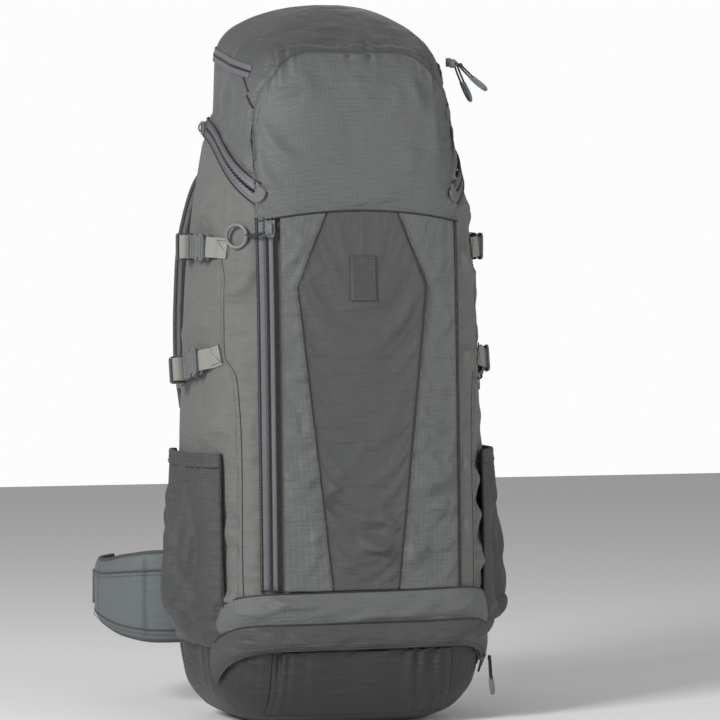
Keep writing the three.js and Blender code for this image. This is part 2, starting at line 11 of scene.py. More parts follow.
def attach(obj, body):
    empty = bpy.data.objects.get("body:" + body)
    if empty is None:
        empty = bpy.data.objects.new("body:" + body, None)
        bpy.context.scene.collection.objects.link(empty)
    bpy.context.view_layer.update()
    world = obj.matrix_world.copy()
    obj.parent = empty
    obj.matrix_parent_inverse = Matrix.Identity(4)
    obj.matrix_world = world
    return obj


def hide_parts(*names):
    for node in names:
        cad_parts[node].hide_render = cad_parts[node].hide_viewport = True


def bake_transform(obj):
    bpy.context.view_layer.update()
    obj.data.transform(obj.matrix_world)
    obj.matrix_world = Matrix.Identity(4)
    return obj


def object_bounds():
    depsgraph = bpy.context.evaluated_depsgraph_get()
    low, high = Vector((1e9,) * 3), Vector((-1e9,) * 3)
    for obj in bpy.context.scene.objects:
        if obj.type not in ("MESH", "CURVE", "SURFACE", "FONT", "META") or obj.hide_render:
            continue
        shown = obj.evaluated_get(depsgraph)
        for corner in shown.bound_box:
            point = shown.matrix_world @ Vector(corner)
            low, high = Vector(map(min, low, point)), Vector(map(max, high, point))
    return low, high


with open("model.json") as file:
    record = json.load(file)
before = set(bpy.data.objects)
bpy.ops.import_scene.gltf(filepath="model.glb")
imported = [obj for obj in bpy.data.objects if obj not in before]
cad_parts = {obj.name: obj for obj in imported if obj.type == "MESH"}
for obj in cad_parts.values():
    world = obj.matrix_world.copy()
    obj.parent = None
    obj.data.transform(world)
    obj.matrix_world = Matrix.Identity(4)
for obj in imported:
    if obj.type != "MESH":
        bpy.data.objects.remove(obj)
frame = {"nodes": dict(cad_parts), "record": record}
cad_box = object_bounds()

MM = 0.001                       # every length below is in millimetres until a mesh is made

# ---- The pack's shape, as part.mjs has it ----------------------------------------------------

HALF_WIDTH = [(0, 100), (12, 126), (45, 149), (110, 158), (170, 159), (300, 156), (440, 153),
              (547, 143), (600, 133), (640, 123), (655, 119), (700, 117), (715, 114), (731, 105),
              (746, 88), (757, 66), (765, 40), (769, 15)]
FRONT_Y = [(0, -66), (12, -92), (45, -110), (110, -119), (144, -118), (547, -103), (640, -99),
           (700, -91), (715, -85), (731, -72), (746, -52), (757, -34), (765, -14), (769, 0)]
BACK_Y = [(0, 70), (12, 85), (45, 94), (110, 95), (655, 95), (700, 93), (715, 89), (731, 79),
          (746, 60), (757, 44), (765, 28), (769, 16)]
CENTRE_SHARE, FRONT_POWER, BACK_POWER = 0.65, 3.5, 5
LEAN_START, LEAN_RUN, LEAN_SLOPE = 655, 60, 0.2
LID_BACK_Z = 641.3
ZIP_Y, ZIP_Z, ZIP_RADIUS = 116, 342, 300
ZIP_HALF = 7
SEAM_TOP, SEAM_DROP = 548, 11    # the seam under the lid's front: its height, and fall to the sides
PANEL_HALF = 107
TAPE_LEFT, TAPE_RIGHT = -108, -89


def camera():
    azimuth, elevation = math.radians(-18), math.radians(2)
    low, high = cad_box
    aim = Vector((math.cos(azimuth), math.sin(azimuth), 0)) * 0.030
    aim.z = (low[2] + high[2]) / 2
    distance = 5.0
    away = Vector((math.sin(azimuth) * math.cos(elevation), -math.cos(azimuth) * math.cos(elevation),
                   math.sin(elevation)))
    data = bpy.data.cameras.new("camera")
    view = bpy.data.objects.new("camera", data)
    bpy.context.collection.objects.link(view)
    view.location = aim + away * distance
    view.rotation_euler = away.to_track_quat("Z", "Y").to_euler()
    data.sensor_width = 36
    data.lens = data.sensor_width * distance / 0.778
    data.clip_end = 50
    bpy.context.scene.camera = view


camera()

# ---- Shape functions -------------------------------------------------------------------------


def smooth_stations(stations):
    """A smooth line through the stations that never passes beyond its neighbours."""
    x, y = np.array(stations, float).T
    step = np.diff(x)
    rise = np.diff(y) / step
    slope = np.zeros_like(y)
    slope[0], slope[-1] = rise[0], rise[-1]
    product = rise[:-1] * rise[1:]
    total = np.where(product > 0, rise[:-1] + rise[1:], 1)
    slope[1:-1] = np.where(product > 0, 2 * product / total, 0)

    def value(z):
        z = np.asarray(z, float)
        i = np.clip(np.searchsorted(x, z) - 1, 0, len(step) - 1)
        t = np.clip((z - x[i]) / step[i], 0, 1)
        h = step[i]
        return ((1 + 2 * t) * (1 - t) ** 2 * y[i] + t * (1 - t) ** 2 * h * slope[i]
                + t * t * (3 - 2 * t) * y[i + 1] + t * t * (t - 1) * h * slope[i + 1])
    return value


half_width, front_y, back_y = map(smooth_stations, (HALF_WIDTH, FRONT_Y, BACK_Y))


def smooth_step(value, low=0.0, high=1.0):
    t = np.clip((np.asarray(value, float) - low) / (high - low), 0, 1)
    return t * t * (3 - 2 * t)


def plan(z, out=0):
    front, back = front_y(z) - out, back_y(z) + out
    return half_width(z) + out, front, back, front + (back - front) * CENTRE_SHARE


def lean(y, z):
    return LEAN_SLOPE * smooth_step(z, LEAN_START, LEAN_START + LEAN_RUN) * y


def shell_point(z, turn, out=0):
    """Points on the pack's outside: turn is in degrees, 0 front, 90 right, 180 back."""
    z, turn = np.broadcast_arrays(np.asarray(z, float), np.asarray(turn, float))
    half, front, back, centre = plan(z, out)
    sine, cosine = np.sin(np.radians(turn)), np.cos(np.radians(turn))
    ahead = cosine > 0
    power = 2 / np.where(ahead, FRONT_POWER, BACK_POWER)
    reach = np.where(ahead, front, back) - centre
    x = half * np.sign(sine) * np.abs(sine) ** power
    y = centre + reach * np.abs(cosine) ** power
    return np.stack([x, y, z + lean(y, z)], -1)


def front_surface(x, z, out=0):
    half, front, _, centre = plan(z, out)
    share = np.minimum(np.abs(x) / half, 1) ** FRONT_POWER
    return centre + (front - centre) * (1 - share) ** (1 / FRONT_POWER)


def front_point(x, z, out=0):
    x, z = np.broadcast_arrays(np.asarray(x, float), np.asarray(z, float))
    y = front_surface(x, z, out)
    return np.stack([x, y, z + lean(y, z)], -1)


def turn_of_x(x, z):
    """The turn at which the outline's front half reaches x."""
    share = np.minimum(np.abs(x) / half_width(z), 1)
    return np.degrees(np.arcsin(share ** (FRONT_POWER / 2))) * np.sign(x)


def seam_height(x):
    return SEAM_TOP - SEAM_DROP * (np.asarray(x, float) / PANEL_HALF) ** 2


def zip_height(turn, offset=0.0):
    """Height of the line `offset` outside the side zip's arc, and of the seams that go on from it."""
    turn = np.asarray(turn, float)
    z = np.full(turn.shape, 560.0)
    for _ in range(12):
        point = shell_point(z, turn)
        x, y = point[..., 0], point[..., 1]
        arc = ZIP_Z + np.sqrt(np.maximum((ZIP_RADIUS + offset) ** 2 - (y - ZIP_Y) ** 2, 1))
        rear = LID_BACK_Z + 0.04 * offset
        arc = arc + (rear - arc) * smooth_step(y, 72, 84)
        target = np.where(y < -93.5, seam_height(x), arc)
        z = 0.5 * z + 0.5 * target
    return z


def even_turns(count, start=-180.0, end=180.0, z=400.0):
    """Turns at equal steps of length round the outline."""
    fine = np.linspace(start, end, 4000)
    points = shell_point(z, fine)
    length = np.concatenate([[0], np.cumsum(np.linalg.norm(np.diff(points, axis=0), axis=1))])
    return np.interp(np.linspace(0, length[-1], count), length, fine)


# ---- Mesh building ---------------------------------------------------------------------------

def new_object(name, vertices, faces, uvs=None):
    """A mesh object from points in millimetres; uvs holds one pair for each face corner, in metres."""
    mesh = bpy.data.meshes.new(name)
    mesh.from_pydata((np.asarray(vertices) * MM).tolist(), [], [list(f) for f in faces])
    if uvs is not None:
        layer = mesh.uv_layers.new(name="UVMap")
        layer.data.foreach_set("uv", (np.asarray(uvs, float) * MM).ravel())
    mesh.validate()
    mesh.update()
    obj = bpy.data.objects.new(name, mesh)
    bpy.context.collection.objects.link(obj)
    mesh.polygons.foreach_set("use_smooth", [True] * len(mesh.polygons))
    return obj


def grid_faces(rows, cols, closed):
    faces = []
    corners = []
    for i in range(rows - 1):
        for j in range(cols if closed else cols - 1):
            k = (j + 1) % cols
            faces.append((i * cols + j, i * cols + k, (i + 1) * cols + k, (i + 1) * cols + j))
            corners.append(((i, j), (i, j + 1), (i + 1, j + 1), (i + 1, j)))
    return faces, corners


def grid_object(name, points, closed=False, flip=False):
    """A sheet through a grid of points, with UVs that measure its surface."""
    rows, cols = points.shape[:2]
    faces, corners = grid_faces(rows, cols, closed)
    wrapped = np.concatenate([points, points[:, :1]], 1) if closed else points
    middle = wrapped[rows // 2]
    across = np.concatenate([[0], np.cumsum(np.linalg.norm(np.diff(middle, axis=0), axis=1))])
    steps = np.linalg.norm(np.diff(points, axis=0), axis=2).mean(1)
    up = np.concatenate([[0], np.cumsum(steps)])
    uvs = [(across[j], up[i]) for face in corners for i, j in face]
    if flip:
        faces = [face[::-1] for face in faces]
        uvs = [uvs[n + 3 - m] for n in range(0, len(uvs), 4) for m in range(4)]
    return new_object(name, points.reshape(-1, 3), faces, uvs)


def vertex_array(obj):
    co = np.empty(len(obj.data.vertices) * 3)
    obj.data.vertices.foreach_get("co", co)
    return co.reshape(-1, 3)


def set_vertices(obj, points):
    obj.data.vertices.foreach_set("co", np.ascontiguousarray(points, float).ravel())
    obj.data.update()


def normal_array(obj):
    normals = np.empty(len(obj.data.vertices) * 3)
    obj.data.vertex_normals.foreach_get("vector", normals)
    return normals.reshape(-1, 3)


def set_attribute(obj, name, values):
    attribute = obj.data.attributes.new(name, "FLOAT", "POINT")
    attribute.data.foreach_set("value", np.asarray(values, np.float32).ravel())


def relax(obj, pins, pressure=1.0, slack=0.01, frames=16, outward=7.0, inward=2.5, gravity=0.3):
    """Lets a sheet swell and crease as cloth between its pinned seams, then keeps the shape."""
    rest, normals = vertex_array(obj), normal_array(obj)
    group = obj.vertex_groups.new(name="pins")
    for weight in np.unique(np.round(pins, 2)):
        if weight > 0:
            group.add(np.nonzero(np.abs(pins - weight) < 0.005)[0].tolist(), float(weight), "REPLACE")
    cloth = obj.modifiers.new("cloth", "CLOTH")
    settings = cloth.settings
    settings.quality = 5
    settings.mass = 0.15
    settings.tension_stiffness = 20
    settings.compression_stiffness = 20
    settings.shear_stiffness = 5
    settings.bending_stiffness = 0.08
    settings.vertex_group_mass = "pins"
    settings.shrink_min = -slack
    settings.use_pressure = True
    settings.uniform_pressure_force = pressure
    settings.effector_weights.gravity = gravity
    cloth.collision_settings.use_collision = False
    cloth.point_cache.frame_end = frames
    scene = bpy.context.scene
    for number in range(1, frames + 1):
        scene.frame_set(number)
    shaped = obj.evaluated_get(bpy.context.evaluated_depsgraph_get())
    co = np.empty(len(rest) * 3)
    shaped.data.vertices.foreach_get("co", co)
    shift = co.reshape(-1, 3) - rest
    height = np.einsum("ij,ij->i", shift, normals)
    sideways = shift - height[:, None] * normals
    length = np.linalg.norm(sideways, axis=1, keepdims=True)
    sideways *= np.minimum(1, 2.5 * MM / np.maximum(length, 1e-9))
    height = np.where(height > 0, outward * MM * np.tanh(height / (outward * MM)),
                      -inward * MM * np.tanh(-height / (inward * MM)))
    obj.modifiers.remove(cloth)
    obj.vertex_groups.remove(group)
    scene.frame_set(1)
    set_vertices(obj, rest + height[:, None] * normals + sideways)


def thicken(obj, thickness, offset=-1.0, levels=1):
    if levels:
        finer = obj.modifiers.new("finer", "SUBSURF")
        finer.levels = finer.render_levels = levels
    wall = obj.modifiers.new("wall", "SOLIDIFY")
    wall.thickness = thickness * MM
    wall.offset = offset
    return obj


def add_wall(obj, thickness):
    """Gives a thin sheet its thickness, half on each side of it."""
    wall = obj.modifiers.new("wall", "SOLIDIFY")
    wall.thickness = thickness * MM
    wall.offset = 0


def finish_piece(obj, body, slot, look, *nodes):
    obj.data.materials.clear()
    obj.data.materials.append(look)
    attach(obj, body)
    if nodes:
        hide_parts(*nodes)
    return obj


# ---- Materials -------------------------------------------------------------------------------

class Nodes:
    """A short way to write a material's nodes."""

    def __init__(self, name):
        self.material = bpy.data.materials.new(name)
        self.material.use_nodes = True
        self.tree = self.material.node_tree
        self.shader = self.tree.nodes["Principled BSDF"]

    def add(self, kind, **values):
        node = self.tree.nodes.new("ShaderNode" + kind)
        for key, value in values.items():
            setattr(node, key, value)
        return node

    def link(self, output, target):
        self.tree.links.new(output, target)

    def math(self, operation, a, b=None, clamp=False):
        node = self.add("Math", operation=operation, use_clamp=clamp)
        for index, value in enumerate((a, b)):
            if value is None:
                continue
            if isinstance(value, (int, float)):
                node.inputs[index].default_value = value
            else:
                self.link(value, node.inputs[index])
        return node.outputs[0]

    def mix(self, factor, a, b, blend="MIX"):
        node = self.add("Mix", data_type="RGBA", blend_type=blend)
        for socket, value in ((node.inputs[0], factor), (node.inputs[6], a), (node.inputs[7], b)):
            if isinstance(value, (int, float)):
                socket.default_value = value
            elif isinstance(value, (tuple, list)):
                socket.default_value = (*value[:3], 1)
            else:
                self.link(value, socket)
        return node.outputs[2]

    def noise(self, vector, scale, detail=3.0, roughness=0.5):
        node = self.add("TexNoise")
        node.inputs["Scale"].default_value = scale
        node.inputs["Detail"].default_value = detail
        node.inputs["Roughness"].default_value = roughness
        self.link(vector, node.inputs["Vector"])
        return node.outputs[0]

    def stretch(self, vector, scale):
        node = self.add("Mapping")
        node.inputs["Scale"].default_value = scale
        self.link(vector, node.inputs["Vector"])
        return node.outputs[0]

    def bump(self, height, distance, strength=1.0, normal=None):
        node = self.add("Bump")
        node.inputs["Strength"].default_value = strength
        node.inputs["Distance"].default_value = distance
        self.link(height, node.inputs["Height"])
        if normal is not None:
            self.link(normal, node.inputs["Normal"])
        return node.outputs[0]

    def lines(self, coordinate, pitch, width):
        """1 on thin lines `pitch` apart, 0 between them."""
        share = self.math("FRACT", self.math("DIVIDE", coordinate, pitch))
        off = self.math("ABSOLUTE", self.math("SUBTRACT", share, 0.5))
        return self.math("SUBTRACT", 1, self.math("DIVIDE", off, width / pitch, clamp=True), clamp=True)


def tint(colour, share):
    return tuple(min(1, max(0, c * share)) for c in colour)


def cloth_look(name, colour, grid=4.4, grid_light=1.28, thread=0.9, mottle=0.10, rough=0.72,
               sheen=0.06, bump=0.25, surface="UV", crease=0.5):
    """Woven cloth: a thread weave, a ripstop grid when grid is set, and patchy colour."""
    n = Nodes(name)
    source = n.add("TexCoord").outputs["UV" if surface == "UV" else "Object"]
    split = n.add("SeparateXYZ")
    n.link(source, split.inputs[0])
    u, v = split.outputs[0], split.outputs[1 if surface == "UV" else 2]
    warp = n.noise(n.stretch(source, (1400, 90, 90)), 1.0, 2)
    weft = n.noise(n.stretch(source, (90, 1400, 1400)), 1.0, 2)
    yarn = n.math("MULTIPLY", n.math("ADD", warp, weft), 0.5)
    patches = n.noise(source, 22, 4, 0.6)
    base = n.mix(patches, tint(colour, 1 - mottle), tint(colour, 1 + mottle))
    base = n.mix(n.math("MULTIPLY", n.math("SUBTRACT", yarn, 0.35, True), 0.9), base, tint(colour, 1.28))
    height = n.math("MULTIPLY", yarn, 0.5)
    for coordinate in (u, v):
        wave = n.math("SINE", n.math("MULTIPLY", coordinate, 2 * math.pi / (thread * MM)))
        height = n.math("ADD", height, n.math("MULTIPLY", wave, 0.10))
    if grid:
        mesh_lines = n.math("MAXIMUM", n.lines(u, grid * MM, 0.6 * MM), n.lines(v, grid * MM, 0.5 * MM))
        base = n.mix(n.math("MULTIPLY", mesh_lines, 0.9), base, tint(colour, grid_light))
        height = n.math("ADD", height, n.math("MULTIPLY", mesh_lines, 0.8))
    # painted shade: the seam attribute darkens the base colour towards 0.45 of it where a piece sets it,
    # along seams, in sewn channels and over the lid's top
    seam = n.add("Attribute", attribute_name="seam").outputs["Fac"]
    base = n.mix(seam, base, tint(colour, 0.45))
    n.link(base, n.shader.inputs["Base Color"])
    n.link(n.math("ADD", n.math("MULTIPLY", patches, 0.12), rough - 0.06), n.shader.inputs["Roughness"])
    place = n.add("TexCoord").outputs["Object"]
    flat = n.noise(n.stretch(place, (13, 13, 55)), 1.0, 3, 0.55)
    slack = n.noise(n.stretch(place, (30, 30, 24)), 1.0, 4, 0.6)
    wrinkle = n.math("ABSOLUTE", n.math("SUBTRACT", flat, 0.5))
    wrinkle = n.math("ADD", wrinkle, n.math("MULTIPLY", slack, 0.35))
    soft = n.bump(wrinkle, 0.012, crease)
    n.link(n.bump(height, 0.0004, bump, soft), n.shader.inputs["Normal"])
    n.shader.inputs["Sheen Weight"].default_value = sheen
    n.shader.inputs["Sheen Roughness"].default_value = 0.5
    n.shader.inputs["Specular IOR Level"].default_value = 0.35
    return n.material


# The record's base colours are display values, so they are turned into the linear ones of a shader.
def linear(*display):
    return tuple(((c + 0.055) / 1.055) ** 2.4 if c > 0.04045 else c / 12.92 for c in display)


DEPTH = 0.66                     # the cloth's own colour is darker than it looks in bright light


def shade(*display):
    return tint(linear(*display), DEPTH)


GUSSET = shade(0.462, 0.466, 0.456)
RIPSTOP = shade(0.412, 0.422, 0.418)
DARK = shade(0.335, 0.343, 0.339)
BASE = shade(0.212, 0.219, 0.212)

gusset_look = cloth_look("gusset_cloth", GUSSET, grid=0, mottle=0.07)
ripstop_look = cloth_look("ripstop_cloth", RIPSTOP, mottle=0.06, rough=0.62)
dark_look = cloth_look("dark_ripstop_cloth", DARK, grid=3.2, grid_light=1.22, rough=0.68)
base_look = cloth_look("base_cloth", BASE, grid=3.2, grid_light=1.22, rough=0.6)


# ---- More ways to make a mesh ----------------------------------------------------------------

def unit(vectors):
    vectors = np.asarray(vectors, float)
    return vectors / np.maximum(np.linalg.norm(vectors, axis=-1, keepdims=True), 1e-9)


def smooth_line(points, count):
    """Points at even steps on a smooth curve through the given ones."""
    points = np.asarray(points, float)
    length = np.concatenate([[0], np.cumsum(np.linalg.norm(np.diff(points, axis=0), axis=1))])
    slope = np.gradient(points, length, axis=0)
    t = np.linspace(0, length[-1], max(count * 4, 60))
    i = np.clip(np.searchsorted(length, t) - 1, 0, len(length) - 2)
    h = (length[i + 1] - length[i])[:, None]
    s = ((t - length[i])[:, None]) / h
    fine = ((1 + 2 * s) * (1 - s) ** 2 * points[i] + s * (1 - s) ** 2 * h * slope[i]
            + s * s * (3 - 2 * s) * points[i + 1] + s * s * (s - 1) * h * slope[i + 1])
    return even_line(fine, count)


def even_line(points, count):
    run = np.concatenate([[0], np.cumsum(np.linalg.norm(np.diff(points, axis=0), axis=1))])
    t = np.linspace(0, run[-1], count)
    return np.stack([np.interp(t, run, points[:, k]) for k in range(3)], 1)


def shell_frame(z, turn, out=0.0):
    """A point on the pack's outside and the outward direction there."""
    z, turn = np.broadcast_arrays(np.asarray(z, float), np.asarray(turn, float))
    point = shell_point(z, turn, out)
    up = shell_point(z + 1, turn, out) - shell_point(z - 1, turn, out)
    around = shell_point(z, turn + 0.5, out) - shell_point(z, turn - 0.5, out)
    return point, unit(np.cross(around, up))


def turn_of_y(y, z, side):
    """The turn at which the outline reaches y on one side."""
    _, front, back, centre = plan(z)
    y = np.asarray(y, float)
    ahead = np.clip((centre - y) / (centre - front), 0, 1) ** (FRONT_POWER / 2)
    behind = np.clip((y - centre) / (back - centre), 0, 1) ** (BACK_POWER / 2)
    turn = np.where(y < centre, np.degrees(np.arccos(ahead)), 180 - np.degrees(np.arccos(behind)))
    return side * turn


def side_frame(side, y, z, out=0.0):
    return shell_frame(z, turn_of_y(y, z, side), out)


def front_frame(x, z, out=0.0):
    return shell_frame(z, turn_of_x(x, z), out)


def section(width, thick, power, count):
    angle = np.linspace(0, 2 * math.pi, count, endpoint=False) + math.pi / count
    c, s = np.cos(angle), np.sin(angle)
    return (np.sign(c) * np.abs(c) ** (2 / power) * width / 2,
            np.sign(s) * np.abs(s) ** (2 / power) * thick / 2)


def sweep(name, centres, across, width, thick, power=8.0, count=16, loop=False):
    """A closed body of one section carried along a line; `across` is the way its width lies."""
    centres = np.asarray(centres, float)
    rows = len(centres)
    if loop:
        tangent = unit(np.roll(centres, -1, 0) - np.roll(centres, 1, 0))
    else:
        tangent = unit(np.gradient(centres, axis=0))
    across = np.broadcast_to(np.asarray(across, float), centres.shape)
    across = unit(across - np.sum(across * tangent, 1, keepdims=True) * tangent)
    normal = np.cross(tangent, across)
    width = np.broadcast_to(np.asarray(width, float), rows)
    thick = np.broadcast_to(np.asarray(thick, float), rows)
    sx, sy = section(1, 1, power, count)
    rings = (centres[:, None] + across[:, None] * (sx[None, :] * width[:, None])[..., None]
             + normal[:, None] * (sy[None, :] * thick[:, None])[..., None])
    return loft(name, rings, loop)


def loft(name, rings, loop=False):
    rows, count = rings.shape[:2]
    if loop:
        rings = np.concatenate([rings, rings[:1]], 0)
    around = np.linalg.norm(np.roll(rings[0], -1, 0) - rings[0], axis=1)
    u = np.concatenate([[0], np.cumsum(around)])
    middle = rings.mean(1)
    v = np.concatenate([[0], np.cumsum(np.linalg.norm(np.diff(middle, axis=0), axis=1))])
    faces, uvs = [], []
    for i in range(len(rings) - 1):
        low, high = i * count, ((i + 1) % rows if loop else i + 1) * count
        for j in range(count):
            k = (j + 1) % count
            faces.append((low + j, low + k, high + k, high + j))
            uvs += [(u[j], v[i]), (u[j + 1], v[i]), (u[j + 1], v[i + 1]), (u[j], v[i + 1])]
    points = rings[:rows].reshape(-1, 3)
    if not loop:
        hubs = np.stack([rings[0].mean(0), rings[-1].mean(0)])
        points = np.concatenate([points, hubs])
        for j in range(count):
            k = (j + 1) % count
            last = (rows - 1) * count
            faces += [(rows * count, k, j), (rows * count + 1, last + j, last + k)]
            uvs += [(0, 0), (u[j + 1], 0), (u[j], 0), (0, v[-1]), (u[j], v[-1]), (u[j + 1], v[-1])]
    obj = new_object(name, points, faces, uvs)
    fix_normals(obj)
    return obj


def fix_normals(obj):
    bm = bmesh.new()
    bm.from_mesh(obj.data)
    bmesh.ops.recalc_face_normals(bm, faces=bm.faces)
    bm.to_mesh(obj.data)
    bm.free()


def side_vectors(points):
    """A direction across a line at each of its points, carried along without twisting."""
    tangent = unit(np.gradient(np.asarray(points, float), axis=0))
    first = np.cross(tangent[0], (0.31, 0.27, 0.91))
    found = [unit(first)]
    for t in tangent[1:]:
        last = found[-1]
        found.append(unit(last - (last @ t) * t))
    return np.array(found)


def tube(name, points, radius, count=8, loop=False):
    diameter = 2 * np.asarray(radius, float)
    return sweep(name, points, side_vectors(points), diameter, diameter, 2, count, loop)


def ribbon_on(name, line, normals, width, thick, out=0.0, count=16, power=8.0):
    """A flat strap that lies along a line on a surface."""
    tangent = unit(np.gradient(line, axis=0))
    across = np.cross(normals, tangent)
    return sweep(name, line + normals * out, across, width, thick, power, count)


def strip_sheet(name, line, normals, low, high, out=0.0, columns=5):
    """A thin sheet beside a line on a surface, from `low` to `high` across it."""
    tangent = unit(np.gradient(line, axis=0))
    across = unit(np.cross(normals, tangent))
    steps = np.linspace(0, 1, columns)[None, :, None]
    low, high = (np.broadcast_to(np.asarray(v, float), len(line))[:, None, None] for v in (low, high))
    points = line[:, None] + across[:, None] * (low + (high - low) * steps)
    return grid_object(name, points + normals[:, None] * out)


def many(name, shape_points, shape_faces, places):
    """Copies of one small shape, each at (centre, along, across, up)."""
    shape_points = np.asarray(shape_points, float)
    vertices, faces = [], []
    for centre, along, across, up in places:
        start = len(vertices) * len(shape_points)
        vertices.append(centre + shape_points @ np.stack([along, across, up]))
        faces += [tuple(v + start for v in face) for face in shape_faces]
    return new_object(name, np.concatenate(vertices), faces)


def capsule(length, radius, sides=5):
    ring = [(math.cos(2 * math.pi * k / sides) * radius, math.sin(2 * math.pi * k / sides) * radius)
            for k in range(sides)]
    half = length / 2
    points = [(-half, 0, 0)] + [(-half * 0.72, a, b) for a, b in ring]
    points += [(half * 0.72, a, b) for a, b in ring] + [(half, 0, 0)]
    faces = []
    for k in range(sides):
        n = (k + 1) % sides
        faces += [(0, 1 + n, 1 + k), (1 + k, 1 + n, 1 + sides + n, 1 + sides + k),
                  (1 + sides + k, 1 + sides + n, 1 + 2 * sides)]
    return points, faces


def along_line(line, normals, pitch):
    """Even places along a line as (centre, along, across, up)."""
    run = np.concatenate([[0], np.cumsum(np.linalg.norm(np.diff(line, axis=0), axis=1))])
    spots = np.arange(pitch / 2, run[-1], pitch)
    tangent = unit(np.gradient(line, axis=0))
    take = lambda values: np.stack([np.interp(spots, run, values[:, k]) for k in range(3)], 1)
    centre, along, up = take(line), unit(take(tangent)), unit(take(normals))
    across = unit(np.cross(up, along))
    return list(zip(centre, along, across, np.cross(along, across)))


def stitches(name, line, normals, body, slot, look, out=0.5, pitch=3.4, length=2.5, radius=0.42):
    places = along_line(line + normals * out, normals, pitch)
    obj = many(name, *capsule(length, radius), places)
    return finish_piece(obj, body, slot, look)


class Surface:
    """The finished outside of cloth pieces, which later pieces are laid on."""

    def __init__(self, *objects):
        graph = bpy.context.evaluated_depsgraph_get()
        self.trees = [BVHTree.FromObject(obj, graph) for obj in objects]

    def lay(self, points, normals, out=0.0, reach=30.0):
        points, normals = np.asarray(points, float), np.asarray(normals, float)
        flat, directions = points.reshape(-1, 3), np.broadcast_to(normals, points.shape).reshape(-1, 3)
        result = flat + directions * out
        for index, (point, normal) in enumerate(zip(flat, directions)):
            start = Vector((point + normal * reach) * MM)
            best = None
            for tree in self.trees:
                hit = tree.ray_cast(start, Vector(-normal), 2 * reach * MM)
                if hit[0] is not None and (best is None or hit[3] < best):
                    best = hit[3]
            if best is not None:
                result[index] = point + normal * (reach - best / MM + out)
        return result.reshape(points.shape)


def smooth_rows(points, times=2):
    """Evens out small steps along a line."""
    points = points.copy()
    for _ in range(times):
        points[1:-1] = 0.25 * points[:-2] + 0.5 * points[1:-1] + 0.25 * points[2:]
    return points


def plate(name, outline, holes, thick, matrix, bevel=0.5):
    """A moulded plate: an outline with holes, thick along its own Z, with rounded edges."""
    curve = bpy.data.curves.new(name, "CURVE")
    curve.dimensions = "2D"
    curve.fill_mode = "BOTH"
    curve.extrude = (thick / 2 - bevel) * MM
    curve.bevel_depth = bevel * MM
    curve.bevel_resolution = 2
    curve.offset = -bevel * MM
    for points in (outline, *holes):
        spline = curve.splines.new("POLY")
        spline.points.add(len(points) - 1)
        for point, (x, y) in zip(spline.points, points):
            point.co = (x * MM, y * MM, 0, 1)
        spline.use_cyclic_u = True
    holder = bpy.data.objects.new(name + "_curve", curve)
    bpy.context.collection.objects.link(holder)
    mesh = bpy.data.meshes.new_from_object(holder.evaluated_get(bpy.context.evaluated_depsgraph_get()))
    bpy.data.objects.remove(holder)
    mesh.transform(matrix)
    obj = bpy.data.objects.new(name, mesh)
    bpy.context.collection.objects.link(obj)
    return obj


def round_corners(points, radius, steps=4):
    """The outline with each corner replaced by a small arc."""
    points = [np.array(p, float) for p in points]
    result = []
    for before, corner, after in zip([points[-1]] + points[:-1], points, points[1:] + points[:1]):
        a, b = unit(before - corner), unit(after - corner)
        cut = min(radius, np.linalg.norm(before - corner) / 2.01, np.linalg.norm(after - corner) / 2.01)
        start, end = corner + a * cut, corner + b * cut
        for k in range(steps + 1):
            t = k / steps
            result.append(tuple((1 - t) ** 2 * start + 2 * t * (1 - t) * corner + t * t * end))
    return result


def rectangle(x0, y0, x1, y1, radius=1.0):
    return round_corners([(x0, y0), (x1, y0), (x1, y1), (x0, y1)], radius)


def axes_matrix(origin, x_axis, y_axis, z_axis):
    """Millimetre origin and the directions of a piece's own axes, as a matrix in metres."""
    matrix = Matrix.Identity(4)
    for column, axis in enumerate((x_axis, y_axis, z_axis)):
        for row in range(3):
            matrix[row][column] = axis[row]
    for row in range(3):
        matrix[row][3] = origin[row] * MM
    return matrix


# ---- Folds -----------------------------------------------------------------------------------

def fold_lift(s, z, folds):
    """Height of soft ridges at points (s, z) of a flat layout; a fold is (s0, z0, s1, z1, width, height)."""
    lift = np.zeros(np.broadcast(s, z).shape)
    for s0, z0, s1, z1, width, height in folds:
        run = np.array([s1 - s0, z1 - z0], float)
        length = np.hypot(*run)
        run /= length
        t = ((s - s0) * run[0] + (z - z0) * run[1]) / length
        off = -(s - s0) * run[1] + (z - z0) * run[0]
        bend = 0.12 * length * (4 * (np.clip(t, 0, 1) - 0.5) ** 2 - 1)
        taper = np.clip(1 - (2 * np.abs(t - 0.5)) ** 2, 0, 1)
        lift += height * taper * np.exp(-((off - bend) / width) ** 2)
    return lift


def random_folds(rng, number, area, angle, spread, length, width, height):
    """Seeded folds inside area (s0, z0, s1, z1), each leaning near `angle` degrees."""
    folds = []
    for _ in range(number):
        s, z = rng.uniform(area[0], area[2]), rng.uniform(area[1], area[3])
        lean = math.radians(angle + rng.normal() * spread)
        half = length * rng.uniform(0.5, 1.2) / 2
        reach = (half * math.cos(lean), half * math.sin(lean))
        rise = height * rng.uniform(0.6, 1.6) * (1 if rng.random() > 0.35 else -0.7)
        folds.append((s - reach[0], z - reach[1], s + reach[0], z + reach[1],
                      width * rng.uniform(0.9, 1.9), rise))
    return folds


def raise_points(obj, lift):
    """Moves each vertex out along its normal by `lift` millimetres."""
    set_vertices(obj, vertex_array(obj) + normal_array(obj) * (np.ravel(lift) * MM)[:, None])


def border_pins(obj):
    """1 on the vertices of a sheet's own edges, 0 inside."""
    uses = {}
    for polygon in obj.data.polygons:
        for key in polygon.edge_keys:
            uses[key] = uses.get(key, 0) + 1
    pins = np.zeros(len(obj.data.vertices))
    for (a, b), times in uses.items():
        if times == 1:
            pins[a] = pins[b] = 1
    return pins


